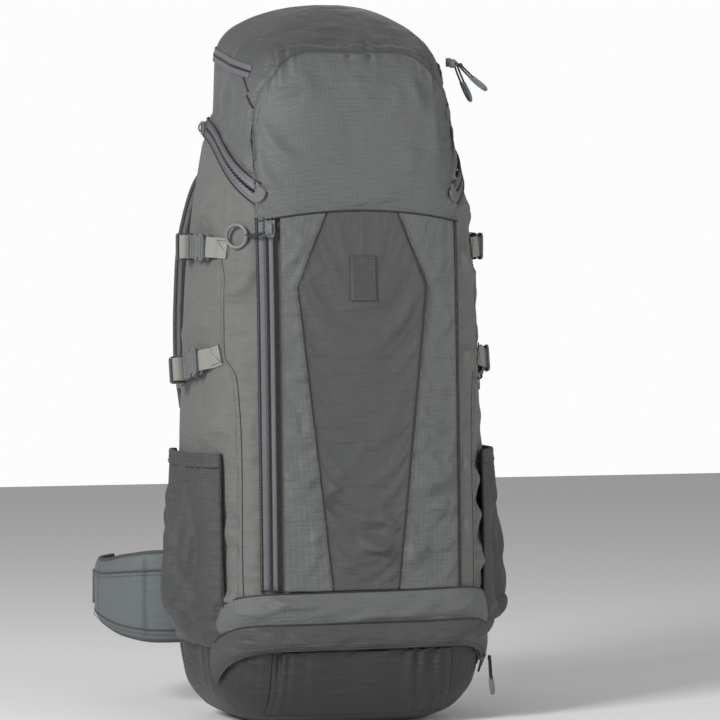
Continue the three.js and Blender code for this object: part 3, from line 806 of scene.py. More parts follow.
def patterned_look(name, colour, wanted, rough, bump=0.3, sheen=0.0):
    """A material whose relief and shade come from one function of its nodes."""
    n = Nodes(name)
    shade, height = wanted(n)
    base = n.mix(shade, tint(colour, 0.72), tint(colour, 1.22))
    n.link(base, n.shader.inputs["Base Color"])
    n.shader.inputs["Roughness"].default_value = rough
    n.shader.inputs["Sheen Weight"].default_value = sheen
    n.link(n.bump(height, 0.0006, bump), n.shader.inputs["Normal"])
    return n.material


def uv_parts(n):
    split = n.add("SeparateXYZ")
    n.link(n.add("TexCoord").outputs["UV"], split.inputs[0])
    return split.outputs[0], split.outputs[1]


def wave(n, coordinate, pitch):
    angle = n.math("MULTIPLY", coordinate, 2 * math.pi / (pitch * MM))
    return n.math("ADD", n.math("MULTIPLY", n.math("SINE", angle), 0.5), 0.5)


def webbing_pattern(n):
    """Narrow woven ribs along the strap, with the slanted picks between them."""
    u, v = uv_parts(n)
    ribs = wave(n, u, 1.7)
    picks = wave(n, n.math("ADD", v, n.math("MULTIPLY", ribs, 0.5 * MM)), 1.3)
    height = n.math("ADD", n.math("MULTIPLY", ribs, 0.6), n.math("MULTIPLY", picks, 0.4))
    worn = n.noise(n.add("TexCoord").outputs["Object"], 60, 4)
    return n.math("ADD", n.math("MULTIPLY", height, 0.6), n.math("MULTIPLY", worn, 0.4)), height


def tape_pattern(n):
    """Zip tape: a fine herringbone under a coated face."""
    u, v = uv_parts(n)
    slant = wave(n, n.math("ADD", v, n.math("MULTIPLY", wave(n, u, 3.2), 1.2 * MM)), 1.1)
    worn = n.noise(n.add("TexCoord").outputs["Object"], 45, 4)
    return n.math("ADD", n.math("MULTIPLY", slant, 0.3), n.math("MULTIPLY", worn, 0.6)), slant


def moulded_pattern(n):
    """Moulded plastic: a faint grain and slightly paler rubbed patches."""
    place = n.add("TexCoord").outputs["Object"]
    grain = n.noise(place, 1800, 2)
    worn = n.noise(place, 90, 5, 0.6)
    return n.math("ADD", n.math("MULTIPLY", worn, 0.8), n.math("MULTIPLY", grain, 0.2)), grain


def mesh_pattern(n):
    """Spacer mesh: round holes in staggered rows."""
    cells = n.add("TexVoronoi", feature="F1")
    cells.inputs["Scale"].default_value = 230
    cells.inputs["Randomness"].default_value = 0.18
    n.link(n.add("TexCoord").outputs["Object"], cells.inputs["Vector"])
    wall = n.math("MULTIPLY", n.math("SUBTRACT", cells.outputs["Distance"], 0.25, True), 2.0, True)
    return wall, wall


def metal_pattern(n):
    place = n.stretch(n.add("TexCoord").outputs["Object"], (900, 900, 12))
    drawn = n.noise(place, 1.0, 3)
    return drawn, drawn


def looks():
    colour = {item["slot"]: shade(*item["base_color"]) for item in frame["record"]["materials"]}
    made = {
        "bag_fabric": gusset_look, "ripstop": ripstop_look, "dark_fabric": dark_look,
        "base_fabric": base_look,
        "zip_tape": patterned_look("zip_tape_knit", tint(colour["zip_tape"], 1.2), tape_pattern, 0.55, 0.2,
                                   0.1),
        "webbing": patterned_look("woven_webbing", colour["webbing"], webbing_pattern, 0.75, 0.9, 0.2),
        "buckle_plastic": patterned_look("buckle_acetal", colour["buckle_plastic"], moulded_pattern, 0.38,
                                         0.08),
        "grip_plastic": patterned_look("pull_rubber", colour["grip_plastic"], moulded_pattern, 0.42, 0.08),
        "air_mesh": patterned_look("spacer_mesh", colour["air_mesh"], mesh_pattern, 0.85, 1.0, 0.2),
        "sheet_plastic": patterned_look("sheet_polyethylene", colour["sheet_plastic"], moulded_pattern, 0.5,
                                        0.1),
    }
    metal = patterned_look("drawn_aluminium", colour["stay_metal"], metal_pattern, 0.35, 0.1)
    metal.node_tree.nodes["Principled BSDF"].inputs["Metallic"].default_value = 1
    made["stay_metal"] = metal
    return made


LOOKS = looks()
thread_look = patterned_look("sewing_thread", tint(RIPSTOP, 1.15), moulded_pattern, 0.6, 0.1)
piping_look = cloth_look("piping_cloth", tint(BASE, 0.62), grid=0, rough=0.55, sheen=0.1)
coil_look = patterned_look("zip_coil", tint(BASE, 0.55), moulded_pattern, 0.4, 0.1)
pad_look = cloth_look("pad_cloth", shade(0.43, 0.455, 0.465), grid=0, mottle=0.05, rough=0.6, bump=0.18,
                      crease=0.2)
strap_look = cloth_look("strap_cloth", shade(0.36, 0.37, 0.38), grid=3.2, mottle=0.06, rough=0.6,
                        crease=0.15)
pocket_look = cloth_look("pocket_cloth", tint(DARK, 0.72), grid=3.2, mottle=0.07, rough=0.64)
band_look = cloth_look("band_cloth", shade(0.415, 0.425, 0.42), mottle=0.06, rough=0.62)
flap_look = cloth_look("flap_cloth", shade(0.305, 0.313, 0.308), grid=3.2, mottle=0.06, rough=0.6)
lid_look = cloth_look("lid_cloth", shade(0.40, 0.41, 0.405), grid=0, mottle=0.05, rough=0.55, sheen=0.15)


def paint_nodes():
    """Gives every CAD node that stays in view its detailed material."""
    for subpart in frame["record"]["subparts"]:
        obj = frame["nodes"][subpart["node"]]
        for slot in obj.material_slots:
            slot.material = LOOKS.get(subpart["material_slot"], gusset_look)


LOOKS["foam_pad"] = pad_look
paint_nodes()
# ---- Bag -------------------------------------------------------------------------------------

SIDES = ((-1, "left"), (1, "right"))
BODY_LOW = 104                   # the bag's cloth starts here, behind the lower band
GUSSET_SEAM = smooth_stations([(84, -97), (136, -95), (300, -88), (349, -84), (377, -80), (392, -68),
                               (431, -65), (478, -62), (501, -54), (560, -50)])
STRAP_Z = {"upper": 509, "lower": 383}
STRAP_TILT = {"upper": 0, "lower": -12}


def flat_layout(turns, z):
    """Distance round the outline from the front, for folds drawn on the unrolled cloth."""
    fine = np.linspace(-180, 180, 1441)
    points = shell_point(400.0, fine)
    run = np.concatenate([[0], np.cumsum(np.linalg.norm(np.diff(points, axis=0), axis=1))])
    run -= np.interp(0, fine, run)
    return np.interp(turns, fine, run) + 0 * z, z + 0 * turns


def bag_body():
    turns = even_turns(211)[:-1]
    share = np.linspace(0, 1, 112)[:, None]
    top = zip_height(turns, -ZIP_HALF - 0.3)
    z = BODY_LOW + (top - BODY_LOW) * share
    points = shell_point(z, turns[None, :])
    obj = grid_object("bag_body", points, closed=True)
    s, height = flat_layout(turns[None, :], z)
    rng = np.random.default_rng(3)
    folds = []
    for side in (-1, 1):
        near, far = sorted((side * 130, side * 250))
        folds += random_folds(rng, 18, (near, 440, far, 600), 40 * -side, 12, 100, 6, 3.4)
        folds += random_folds(rng, 18, (near, 150, far, 420), 5, 16, 90, 7, 2.8)
        folds += random_folds(rng, 26, (min(side * 112, side * 150), 120, max(side * 112, side * 150), 420),
                              6 * side, 14, 42, 4.5, 3.0)
    folds += random_folds(rng, 22, (112, 110, 165, 330), -30, 35, 60, 5, 3.4)
    y = points[..., 1]
    seam = np.abs(y - GUSSET_SEAM(z)) < 4.0
    edge = np.minimum(share, 1 - share) + 0 * z < 0.004
    panel = (np.abs(points[..., 0]) < PANEL_HALF + 4) & (y < 0)
    zip_band = np.abs(np.hypot(y - ZIP_Y, z - ZIP_Z) - ZIP_RADIUS) < ZIP_HALF + 6
    straps = zip_band & (z > 500)
    for centre in STRAP_Z.values():
        straps |= (np.abs(z - centre) < 24) & (y > -75) & (y < 48)
    pins = (edge | panel | seam | straps).astype(float).ravel()
    relax(obj, pins, pressure=1.0, slack=0.014, outward=6)
    lift = fold_lift(s, height, folds) * (1 - pins.reshape(z.shape))
    fade = smooth_step(np.abs(points[..., 0]), PANEL_HALF + 2, PANEL_HALF + 14) + (y > 0)
    lift *= np.clip(fade, 0, 1) * np.clip(18 * np.minimum(share, 1 - share), 0, 1)
    under = 5 * (1 - smooth_step(np.abs(points[..., 0]), PANEL_HALF - 10, PANEL_HALF)) * (y < 0)
    raise_points(obj, lift - under - 1.2 * zip_band * (z > 500))
    thicken(obj, 2.4)
    return finish_piece(obj, "bag", "bag_fabric", gusset_look, "main_bag")


ARCH = smooth_stations([(0, 731), (48, 731), (68, 726), (85, 712), (98, 690), (107, 660), (113, 618)])
LID_REACH = 112.5                # half width of the lid's front panel


def arch_level(x):
    return ARCH(np.abs(x))


def pucker(x, z, depth=26.0):
    """Short gathers that run out from the lid's arch seam, on both sides of it."""
    level = arch_level(x)
    slope = (arch_level(np.abs(x) + 1) - arch_level(np.abs(x) - 1)) / 2
    off = (z - level) / np.sqrt(1 + slope ** 2)
    run = x + np.sign(x) * (731 - level) * 0.9
    teeth = (np.sin(run / 3.1) + 0.8 * np.sin(run / 1.9 + 2) + 0.6 * np.sin(run / 5.3 + 1))
    strength = 0.55 + 0.45 * np.sin(run / 17 + 0.6)
    return 2.4 * teeth * strength * np.exp(-np.abs(off) / (depth * 0.33)), off


def close_top(obj, count):
    """One face over the last ring of a closed grid."""
    bm = bmesh.new()
    bm.from_mesh(obj.data)
    bm.verts.ensure_lookup_table()
    bm.faces.new(bm.verts[-count:])
    bmesh.ops.recalc_face_normals(bm, faces=bm.faces)
    bm.to_mesh(obj.data)
    bm.free()


def lid_cloth():
    turns = even_turns(261)[:-1]
    low = zip_height(turns, ZIP_HALF + 0.3)
    levels = np.concatenate([np.linspace(0, 1, 46), 1 + np.linspace(0.025, 1, 46)])[:, None]
    shoulder, top = 700.0, 768.95
    z = np.where(levels <= 1, low + (shoulder - low) * levels,
                 shoulder + (top - shoulder) * (1 - np.abs(2 - levels) ** 2.3))
    points = shell_point(z, turns[None, :])
    rows = [points]
    hub = points[-1].mean(0)
    for share in (0.75, 0.5, 0.25, 0.02):
        rows.append((hub + (points[-1] - hub) * share + (0, 0, 0.5 * (1 - share)))[None])
    points = np.concatenate(rows)
    obj = grid_object("lid_dome", points, closed=True)
    close_top(obj, len(turns))
    z = np.concatenate([z, np.full((4, z.shape[1]), top)])
    s, height = flat_layout(turns[None, :], z)
    rng = np.random.default_rng(8)
    folds = random_folds(rng, 12, (-270, 640, -130, 700), 62, 12, 95, 8, 3.0)
    folds += random_folds(rng, 12, (130, 640, 270, 700), -62, 12, 95, 8, 3.0)
    folds += random_folds(rng, 8, (-140, 735, 140, 765), 8, 16, 120, 9, 2.0)
    x, y = points[..., 0], points[..., 1]
    teeth, off = pucker(x, z)
    seam = (np.abs(off) < 4) & (y < 0)
    covered = (off < 0) & (y < 0) & (np.abs(x) < LID_REACH + 2)
    first = np.zeros_like(seam)
    first[0] = True
    radius = np.hypot(y - ZIP_Y, points[..., 2] - ZIP_Z)
    zip_band = (np.abs(radius - ZIP_RADIUS) < ZIP_HALF + 6) & (z < 660)
    pins = (first | seam | covered | zip_band).astype(float).ravel()
    relax(obj, pins, pressure=0.7, slack=0.012, outward=5)
    outside = np.clip(off / 3, 0, 1) * (y < 0)
    lift = fold_lift(s, height, folds) * np.clip(12 * (z - z[0]) / 100, 0, 1) * (~covered)
    lift = lift * smooth_step(top - z, 2, 26)
    under = 5 * smooth_step(-off, 2, 10) * (y < 0) * smooth_step(LID_REACH - np.abs(x), 0, 6)
    raise_points(obj, lift + teeth * outside - under - 1.2 * zip_band)
    # painted shade: the lid's top is darkened from 680 to 740 mm through the seam attribute; it marks no seam
    set_attribute(obj, "seam", 0.72 * smooth_step(z, 680, 740))
    thicken(obj, 2.2)
    return finish_piece(obj, "lid", "bag_fabric", lid_look, "lid_shell")


def lid_front():
    """The light panel on the lid's front, gathered into its arch seam."""
    x = LID_REACH * np.sin(np.linspace(-math.pi / 2, math.pi / 2, 97))[None, :]
    v = np.linspace(0, 1, 92)[:, None]
    bottom = seam_height(x) + 0.4
    z = bottom + (arch_level(x) - bottom) * v
    obj = grid_object("lid_front_cloth", front_point(x, z, 2.2))
    teeth, off = pucker(x, z)
    pins = border_pins(obj)
    relax(obj, pins, pressure=0.9, slack=0.014, outward=5)
    rng = np.random.default_rng(12)
    folds = [(-106, 652, -66, 600, 7, 4.2), (-108, 628, -86, 566, 6, 3.4), (104, 690, 90, 600, 8, 3.2),
             (-98, 672, -50, 706, 7, 3.0), (6, 728, 12, 660, 8, 2.2), (60, 720, 84, 640, 8, 2.4)]
    folds += random_folds(rng, 14, (-95, 600, 95, 715), 86, 14, 80, 7, 1.5)
    inside = np.clip(8 * np.minimum(v, 1 - v), 0, 1) * np.clip((LID_REACH - np.abs(x)) / 8, 0, 1)
    sides = smooth_step(LID_REACH - np.abs(x), 0, 3)
    raise_points(obj, teeth * np.clip(-off / 3, 0, 1) * 0.9 * sides + fold_lift(x + 0 * z, z, folds) * inside)
    # painted shade along the gathered arch seam, fading within a few millimetres of it
    set_attribute(obj, "seam", np.exp(-np.abs(off) / 1.6) * 0.8)
    thicken(obj, 1.4)
    return finish_piece(obj, "lid", "ripstop", ripstop_look, "lid_front_panel")


def coffin_half(z):
    return np.interp(z, [146, 469, 543, 550], [36, 71, 40, 37])


def front_cloth(name, left, right, look, slot, node, columns, folds, slack=0.02, out=2.0):
    """A sewn panel of the front pocket between two edges, each a half width at a height."""
    v = np.linspace(0, 1, 118)[:, None]
    u = np.linspace(0, 1, columns)[None, :]
    rough_z = 146 + (SEAM_TOP - 2 - 146) * v
    x = left(rough_z) + (right(rough_z) - left(rough_z)) * u
    z = 146 + (seam_height(x) - 0.4 - 146) * v
    obj = grid_object(name, front_point(x, z, out))
    relax(obj, border_pins(obj), pressure=1.0, slack=slack, outward=5)
    inside = np.clip(9 * np.minimum(v, 1 - v), 0, 1) * np.clip(7 * np.minimum(u, 1 - u), 0, 1)
    raise_points(obj, fold_lift(x, z, folds) * inside)
    # painted shade along the panel's sewn edges, fading within a few millimetres of them
    near_edge = np.minimum(u, 1 - u) * np.abs(right(rough_z) - left(rough_z))
    set_attribute(obj, "seam", np.exp(-near_edge / 1.5) * 0.7)
    thicken(obj, 1.5)
    finish_piece(obj, "bag", slot, look)
    if node:
        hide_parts(node)
    return obj


def front_pocket():
    rng = np.random.default_rng(21)
    low = random_folds(rng, 22, (-60, 160, 60, 260), 4, 12, 80, 4, 3.2)
    high = random_folds(rng, 14, (-60, 260, 60, 520), 6, 22, 70, 6, 1.4)
    arcs = [(-45, 196, 50, 203, 6, 3.0), (-38, 226, 40, 232, 5, 2.2), (-30, 176, 34, 172, 5, 2.2)]
    front_cloth("centre_cloth", lambda z: -coffin_half(z), coffin_half, dark_look, "dark_fabric",
                "centre_panel", 58, low + high + arcs)
    left = random_folds(rng, 12, (-92, 430, -48, 540), 52, 18, 48, 4, 2.0)
    left += random_folds(rng, 20, (-88, 150, -50, 400), 8, 16, 36, 3.6, 2.4)
    front_cloth("front_cloth_left", lambda z: 0 * z + TAPE_RIGHT - 0.2, lambda z: -coffin_half(z),
                ripstop_look, "ripstop", "front_panel", 24, left)
    right = random_folds(rng, 12, (48, 150, 104, 300), 35, 30, 60, 5, 2.6)
    right += random_folds(rng, 8, (60, 300, 104, 530), 75, 20, 60, 5, 1.6)
    right += random_folds(rng, 16, (44, 150, 104, 330), 8, 18, 50, 4, 2.2)
    front_cloth("front_cloth_right", coffin_half, lambda z: 0 * z + PANEL_HALF, ripstop_look,
                "ripstop", None, 30, right)


def front_line(x_of_z, low, high, count=60, out=2.0):
    z = np.linspace(low, high, count)
    x = x_of_z(z)
    point, normal = front_frame(x, z, out)
    return point, normal


def front_seams():
    """Piping along the pocket's panel edges, and the stitching beside it."""
    for side, name in SIDES:
        line, normal = front_line(lambda z: side * coffin_half(z), 147, 546, 90)
        seam = tube(f"centre_piping_{name}", line - normal * 0.2, 1.0)
        finish_piece(seam, "bag", "dark_fabric", piping_look)
        edge, normal = front_line(lambda z: side * (coffin_half(z) + 3.4), 150, 543, 90)
        stitches(f"centre_stitching_{name}", front_surface_cloth.lay(edge, normal, 0.1, 12), normal,
                 "bag", "ripstop", thread_look, out=0.1)
    line, normal = front_line(lambda z: 0 * z + PANEL_HALF + 0.8, 112, 537, 90, out=1.6)
    finish_piece(tube("right_piping", line, 1.7), "bag", "dark_fabric", piping_look)
    line, normal = front_line(lambda z: 0 * z + TAPE_LEFT - 2.2, 146, 540, 90, out=1.8)
    finish_piece(tube("left_piping", line, 2.0), "bag", "dark_fabric", piping_look)
    x = np.linspace(-PANEL_HALF - 4, PANEL_HALF + 4, 80)
    line, normal = front_frame(x, seam_height(x), 2.6)
    finish_piece(tube("lid_front_piping", line, 0.9), "bag", "dark_fabric", piping_look)


def zip_strips(name, line, normals, body, slot, node, half, gap, out, thick=1.0, sides=(-1, 1)):
    """The tape's two halves beside the teeth."""
    for side in sides:
        low, high = sorted((side * gap, side * half))
        obj = strip_sheet(f"{name}_tape_{'left' if side < 0 else 'right'}", line, normals, low, high, out)
        wall = obj.modifiers.new("wall", "SOLIDIFY")
        wall.thickness = thick * MM
        wall.offset = 1
        finish_piece(obj, body, slot, LOOKS["zip_tape"])
        if node:
            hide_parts(node)
            node = None


TOOTH = ([(-0.75, -1.5, 0), (0.75, -1.5, 0), (0.75, 1.5, 0), (-0.75, 1.5, 0),
          (-0.5, -1.2, 1.1), (0.5, -1.2, 1.1), (0.5, 1.2, 1.1), (-0.5, 1.2, 1.1)],
         [(3, 2, 1, 0), (4, 5, 6, 7), (0, 1, 5, 4), (1, 2, 6, 5), (2, 3, 7, 6), (3, 0, 4, 7)])


def zip_teeth(name, line, normals, body, shift=0.0, out=0.0, pitch=2.6):
    across = unit(np.cross(normals, unit(np.gradient(line, axis=0))))
    places = along_line(line + across * shift + normals * out, normals, pitch)
    return finish_piece(many(name, *TOOTH, places), body, "buckle_plastic", coil_look)


def front_zip():
    middle = (TAPE_LEFT + TAPE_RIGHT) / 2 - 2.4
    line, normals = front_line(lambda z: 0 * z + middle, 148, 541, 80, out=1.6)
    zip_strips("front_zip", line, normals, "bag", "zip_tape", None, 6.2, 1.3, 0.6, sides=(-1,))
    zip_strips("front_zip_wide", line, normals, "bag", "zip_tape", "front_zip_tape", 11.6, 1.3, 0.6,
               sides=(1,))
    zip_teeth("front_zip_teeth", line, normals, "bag", out=0.5)
    for offset in (-5.2, 4.4, 10.6):
        across = unit(np.cross(normals, unit(np.gradient(line, axis=0))))
        stitches(f"front_zip_stitching_{int(offset * 10)}", line + across * offset, normals, "bag",
                 "zip_tape", thread_look, out=1.9)


def side_zip_line(side, offset):
    """The side zip's line at a distance from its middle, from the front corner to the back."""
    y = np.linspace(-85, 78, 70)
    z = ZIP_Z + np.sqrt((ZIP_RADIUS + offset) ** 2 - (y - ZIP_Y) ** 2)
    return side_frame(side, y, z, 0.8)


def side_zips():
    for side, name in SIDES:
        for half, body in ((-1, "bag"), (1, "lid")):
            steps = np.linspace(0.9, ZIP_HALF + 2.2, 5)
            grid = np.stack([side_zip_line(side, half * step)[0] for step in steps], 1)
            tape = grid_object(f"side_zip_{'upper' if half > 0 else 'lower'}_{name}_tape", grid)
            add_wall(tape, 1.6)
            finish_piece(tape, body, "zip_tape", LOOKS["zip_tape"])
            if half < 0:
                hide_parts(f"side_zip_lower_{name}")
            line, normals = side_zip_line(side, half * 0.9)
            zip_teeth(f"side_zip_teeth_{body}_{name}", line, normals, body, out=0.2, pitch=5.2)
            line, normals = side_zip_line(side, half * (ZIP_HALF + 1.6))
            finish_piece(tube(f"side_zip_edge_{body}_{name}", line + normals * 0.6, 1.1), body,
                         "dark_fabric", piping_look)
            line, normals = side_zip_line(side, half * (ZIP_HALF - 1.4))
            stitches(f"side_zip_stitching_{body}_{name}", line, normals, body, "zip_tape",
                     thread_look, out=1.2)


def gusset_seams():
    for side, name in SIDES:
        z = np.linspace(112, 498, 110)
        line, normals = side_frame(side, GUSSET_SEAM(z), z, 0.0)
        seam = bag_cloth.lay(line, normals, -0.5, 14)
        finish_piece(tube(f"gusset_seam_{name}", smooth_rows(seam, 3), 0.9), "bag", "dark_fabric",
                     piping_look)
        line, normals = side_frame(side, GUSSET_SEAM(z) + 4, z, 0.0)
        stitches(f"gusset_stitching_{name}", smooth_rows(bag_cloth.lay(line, normals, 0.0, 14), 2),
                 normals, "bag", "bag_fabric", thread_look, out=0.15)


# ---- Lower front -----------------------------------------------------------------------------

def turned_strip(name, low, high, reach, out, rows, columns=120, folds=(), puff=0.0):
    """A strip round the front between two heights, each a function of the turn."""
    turn = np.linspace(-reach, reach, columns)[None, :]
    v = np.linspace(0, 1, rows)[:, None]
    z = low(turn) + (high(turn) - low(turn)) * v
    points, normals = shell_frame(z, turn, out)
    s, height = flat_layout(turn, z)
    lift = puff * np.sin(math.pi * v) + fold_lift(s, height, folds)
    edge = np.clip(6 * np.minimum(v, 1 - v), 0, 1)
    return grid_object(name, points + normals * (lift * edge)[..., None])


def drop(turn, amount, reach, power=5):
    return amount * (np.abs(turn) / reach) ** power


BAND_REACH, FLAP_REACH = 65, 68


def band_top(turn):
    return 145 + 3 * np.sin(np.radians(turn)) - drop(turn, 22, BAND_REACH)


def band_low(turn):
    return 112 + 2 * np.sin(np.radians(turn)) - drop(turn, 20, BAND_REACH)


def flap_low(turn):
    return 85 + 2.5 * np.sin(np.radians(turn)) - drop(turn, 38, FLAP_REACH, 4)


def lower_front():
    rng = np.random.default_rng(31)
    folds = random_folds(rng, 16, (-120, 115, 120, 142), 6, 14, 80, 4, 2.0)
    band = turned_strip("lower_band_cloth", band_low, band_top, BAND_REACH, 3.4, 18, folds=folds, puff=2.4)
    thicken(band, 1.6)
    finish_piece(band, "bag", "bag_fabric", band_look, "lower_band")
    folds = random_folds(rng, 18, (-130, 84, 130, 108), 4, 12, 90, 4, 2.6)
    flap = turned_strip("storm_flap_cloth", flap_low, lambda t: band_low(t) + 0.6, FLAP_REACH, 5.0, 18,
                        folds=folds, puff=3.2)
    thicken(flap, 1.8)
    finish_piece(flap, "bag", "dark_fabric", flap_look, "storm_flap")
    turn = np.linspace(-BAND_REACH, BAND_REACH, 120)
    line, normals = shell_frame(band_low(turn), turn, 5.0)
    finish_piece(tube("band_piping", line, 1.0), "bag", "dark_fabric", piping_look)
    line, normals = shell_frame(band_top(turn), turn, 3.0)
    finish_piece(tube("band_upper_seam", line, 1.0), "bag", "dark_fabric", piping_look)
    turn = np.linspace(-FLAP_REACH, FLAP_REACH, 120)
    line, normals = shell_frame(flap_low(turn) + 0.4, turn, 4.6)
    finish_piece(tube("flap_hem", line, 1.3), "bag", "dark_fabric", flap_look)
    for rise in (3.2, 6.0):
        line, normals = shell_frame(flap_low(turn) + rise, turn, 5.2)
        laid = Surface(flap).lay(line, normals, 0.1, 12)
        stitches(f"flap_stitching_{int(rise)}", laid, normals, "bag", "dark_fabric", thread_look,
                 out=0.1)
    turn = np.linspace(-66, 66, 140)
    line, normals = shell_frame(93 - drop(turn, 30, 66, 4), turn, 1.2)
    zip_strips("bottom_zip", line, normals, "bag", "zip_tape", "bottom_zip_tape", 6, 1.2, 0.2)
    zip_teeth("bottom_zip_teeth", line, normals, "bag", out=0.2)


DOOR_LOW, DOOR_TOP, DOOR_HALF, DOOR_SPAN = 13, 82, 100, 34


def door_turn(w, z):
    """Spreads a row's places so that the doorway's edges fall on whole columns."""
    edge = turn_of_x(DOOR_HALF + 0.0 * z, z)
    inside = w / DOOR_SPAN * edge
    outside = np.sign(w) * (edge + (np.abs(w) - DOOR_SPAN) / (180 - DOOR_SPAN) * (180 - edge))
    return np.where(np.abs(w) <= DOOR_SPAN, inside, outside)


def gathers(w, z, top, strength, depth):
    """Vertical gathers that hang from a seam and fade below it."""
    run = w * 2.6
    ridges = np.sin(run / 3.0) + 0.7 * np.sin(run / 5.1 + 1) + 0.5 * np.sin(run / 1.9 + 0.4)
    return strength * ridges * np.exp(-(top - z) / depth) * (0.6 + 0.4 * np.sin(run / 19))


def base_shell():
    columns = np.concatenate([np.linspace(-180, -DOOR_SPAN, 74), np.linspace(-DOOR_SPAN, DOOR_SPAN, 61)[1:],
                              np.linspace(DOOR_SPAN, 180, 74)[1:-1]])[None, :]
    low = np.array([0, 1.2, 3.5, 7, DOOR_LOW - 0.6])
    sides = np.linspace(DOOR_LOW - 0.6, DOOR_TOP + 0.6, 16)[1:]
    z = np.concatenate([low, sides, np.linspace(DOOR_TOP + 0.6, 112, 6)[1:]])[:, None] + 0 * columns
    points = shell_point(z, door_turn(columns, z))
    foot = [points[0] * (share, share, 0) + (0, (1 - share) * 2, 0) for share in (0.02, 0.35, 0.7, 0.93)]
    points = np.concatenate([np.stack(foot), points])
    points[..., 2] = np.maximum(points[..., 2], 0.4)
    count = points.shape[1]
    outer = smooth_step(np.abs(columns), DOOR_SPAN + 1, DOOR_SPAN + 7) + 0 * points[..., 2]
    height = points[..., 2]
    folds = gathers(columns * 0.9, height, 86, 1.8, 34) * outer * smooth_step(100 - height, 0, 14)
    reach = np.linalg.norm(points[..., :2], axis=-1, keepdims=True)
    points = points + np.concatenate([points[..., :2] / reach, 0 * reach], -1) * folds[..., None]
    obj = grid_object("base_cloth", points, closed=True)
    bm = bmesh.new()
    bm.from_mesh(obj.data)
    bm.verts.ensure_lookup_table()
    first = len(foot) + len(low) - 1
    last = first + len(sides)
    inside = np.abs(columns[0]) < DOOR_SPAN - 1e-6
    gone = [bm.verts[r * count + c] for r in range(first + 1, last) for c in np.nonzero(inside)[0]]
    bmesh.ops.delete(bm, geom=gone, context="VERTS")
    bm.to_mesh(obj.data)
    bm.free()
    fix_normals(obj)
    thicken(obj, 2.4)
    return finish_piece(obj, "bag", "base_fabric", base_look, "bottom_compartment")


def base_door():
    w = np.linspace(-DOOR_SPAN, DOOR_SPAN, 121)[None, :] * 0.995
    z = np.linspace(DOOR_LOW, DOOR_TOP, 40)[:, None] + 0 * w
    points, normals = shell_frame(z, door_turn(w, z), 0.2)
    v = (z - DOOR_LOW) / (DOOR_TOP - DOOR_LOW)
    inside = np.clip(10 * np.minimum(v, 1 - v * 0.97), 0, 1) * np.clip((DOOR_SPAN - np.abs(w)) / 3, 0, 1)
    lift = 3.0 * np.sin(math.pi * np.clip(v, 0, 1)) + gathers(w, z, DOOR_TOP, 3.0, 40)
    points = points + normals * (lift * inside)[..., None]
    obj = grid_object("base_door_cloth", points)
    thicken(obj, 2.2)
    return finish_piece(obj, "bottom_door", "base_fabric", base_look, "bottom_door")


bag = bag_body()
lid = lid_cloth()
lid_panel = lid_front()
front_pocket()
bag_cloth = Surface(bag)
lid_cloth_surface = Surface(lid, lid_panel)
front_surface_cloth = Surface(*[bpy.data.objects[name] for name in
                                ("centre_cloth", "front_cloth_left", "front_cloth_right")])
front_seams()
front_zip()
side_zips()
gusset_seams()
lower_front()
base_shell()
base_door()
# ---- Side pockets ----------------------------------------------------------------------------

POCKET_LOW, POCKET_TOP, POCKET_BACK, POCKET_BULGE = 84, 291, 62, 24


def side_surface(y, z, out=0.0):
    half, front, back, centre = plan(z, out)
    ahead = y < centre
    power = np.where(ahead, FRONT_POWER, BACK_POWER)
    reach = np.where(ahead, centre - front, back - centre)
    share = np.minimum(np.abs(y - centre) / reach, 1) ** power
    return half * (1 - share) ** (1 / power)


def pocket_front(z):
    """The pocket's front seam slants forward towards the base."""
    return -70 - 13 * (POCKET_TOP - z) / (POCKET_TOP - POCKET_LOW)


def pocket_grid(side, inset=0.0, low=POCKET_LOW, top=POCKET_TOP, rows=60, columns=54):
    v = np.linspace(0, 1, rows)[:, None]
    u = np.linspace(0, 1, columns)[None, :]
    z = low + (top - low) * v + 0 * u
    y = pocket_front(z) + (POCKET_BACK - pocket_front(z)) * u
    rise = (z - POCKET_LOW) / (POCKET_TOP - POCKET_LOW)
    across = np.clip(np.sin(math.pi * u), 0, 1) ** 0.55
    stand = (3.0 + (POCKET_BULGE - 1) * across * (0.75 + 0.25 * np.cos(math.pi * (rise - 0.35)))
             * np.minimum(rise * 5, 1))
    return np.stack([side * (side_surface(y, z) + stand - inset), y, z], -1), u, rise


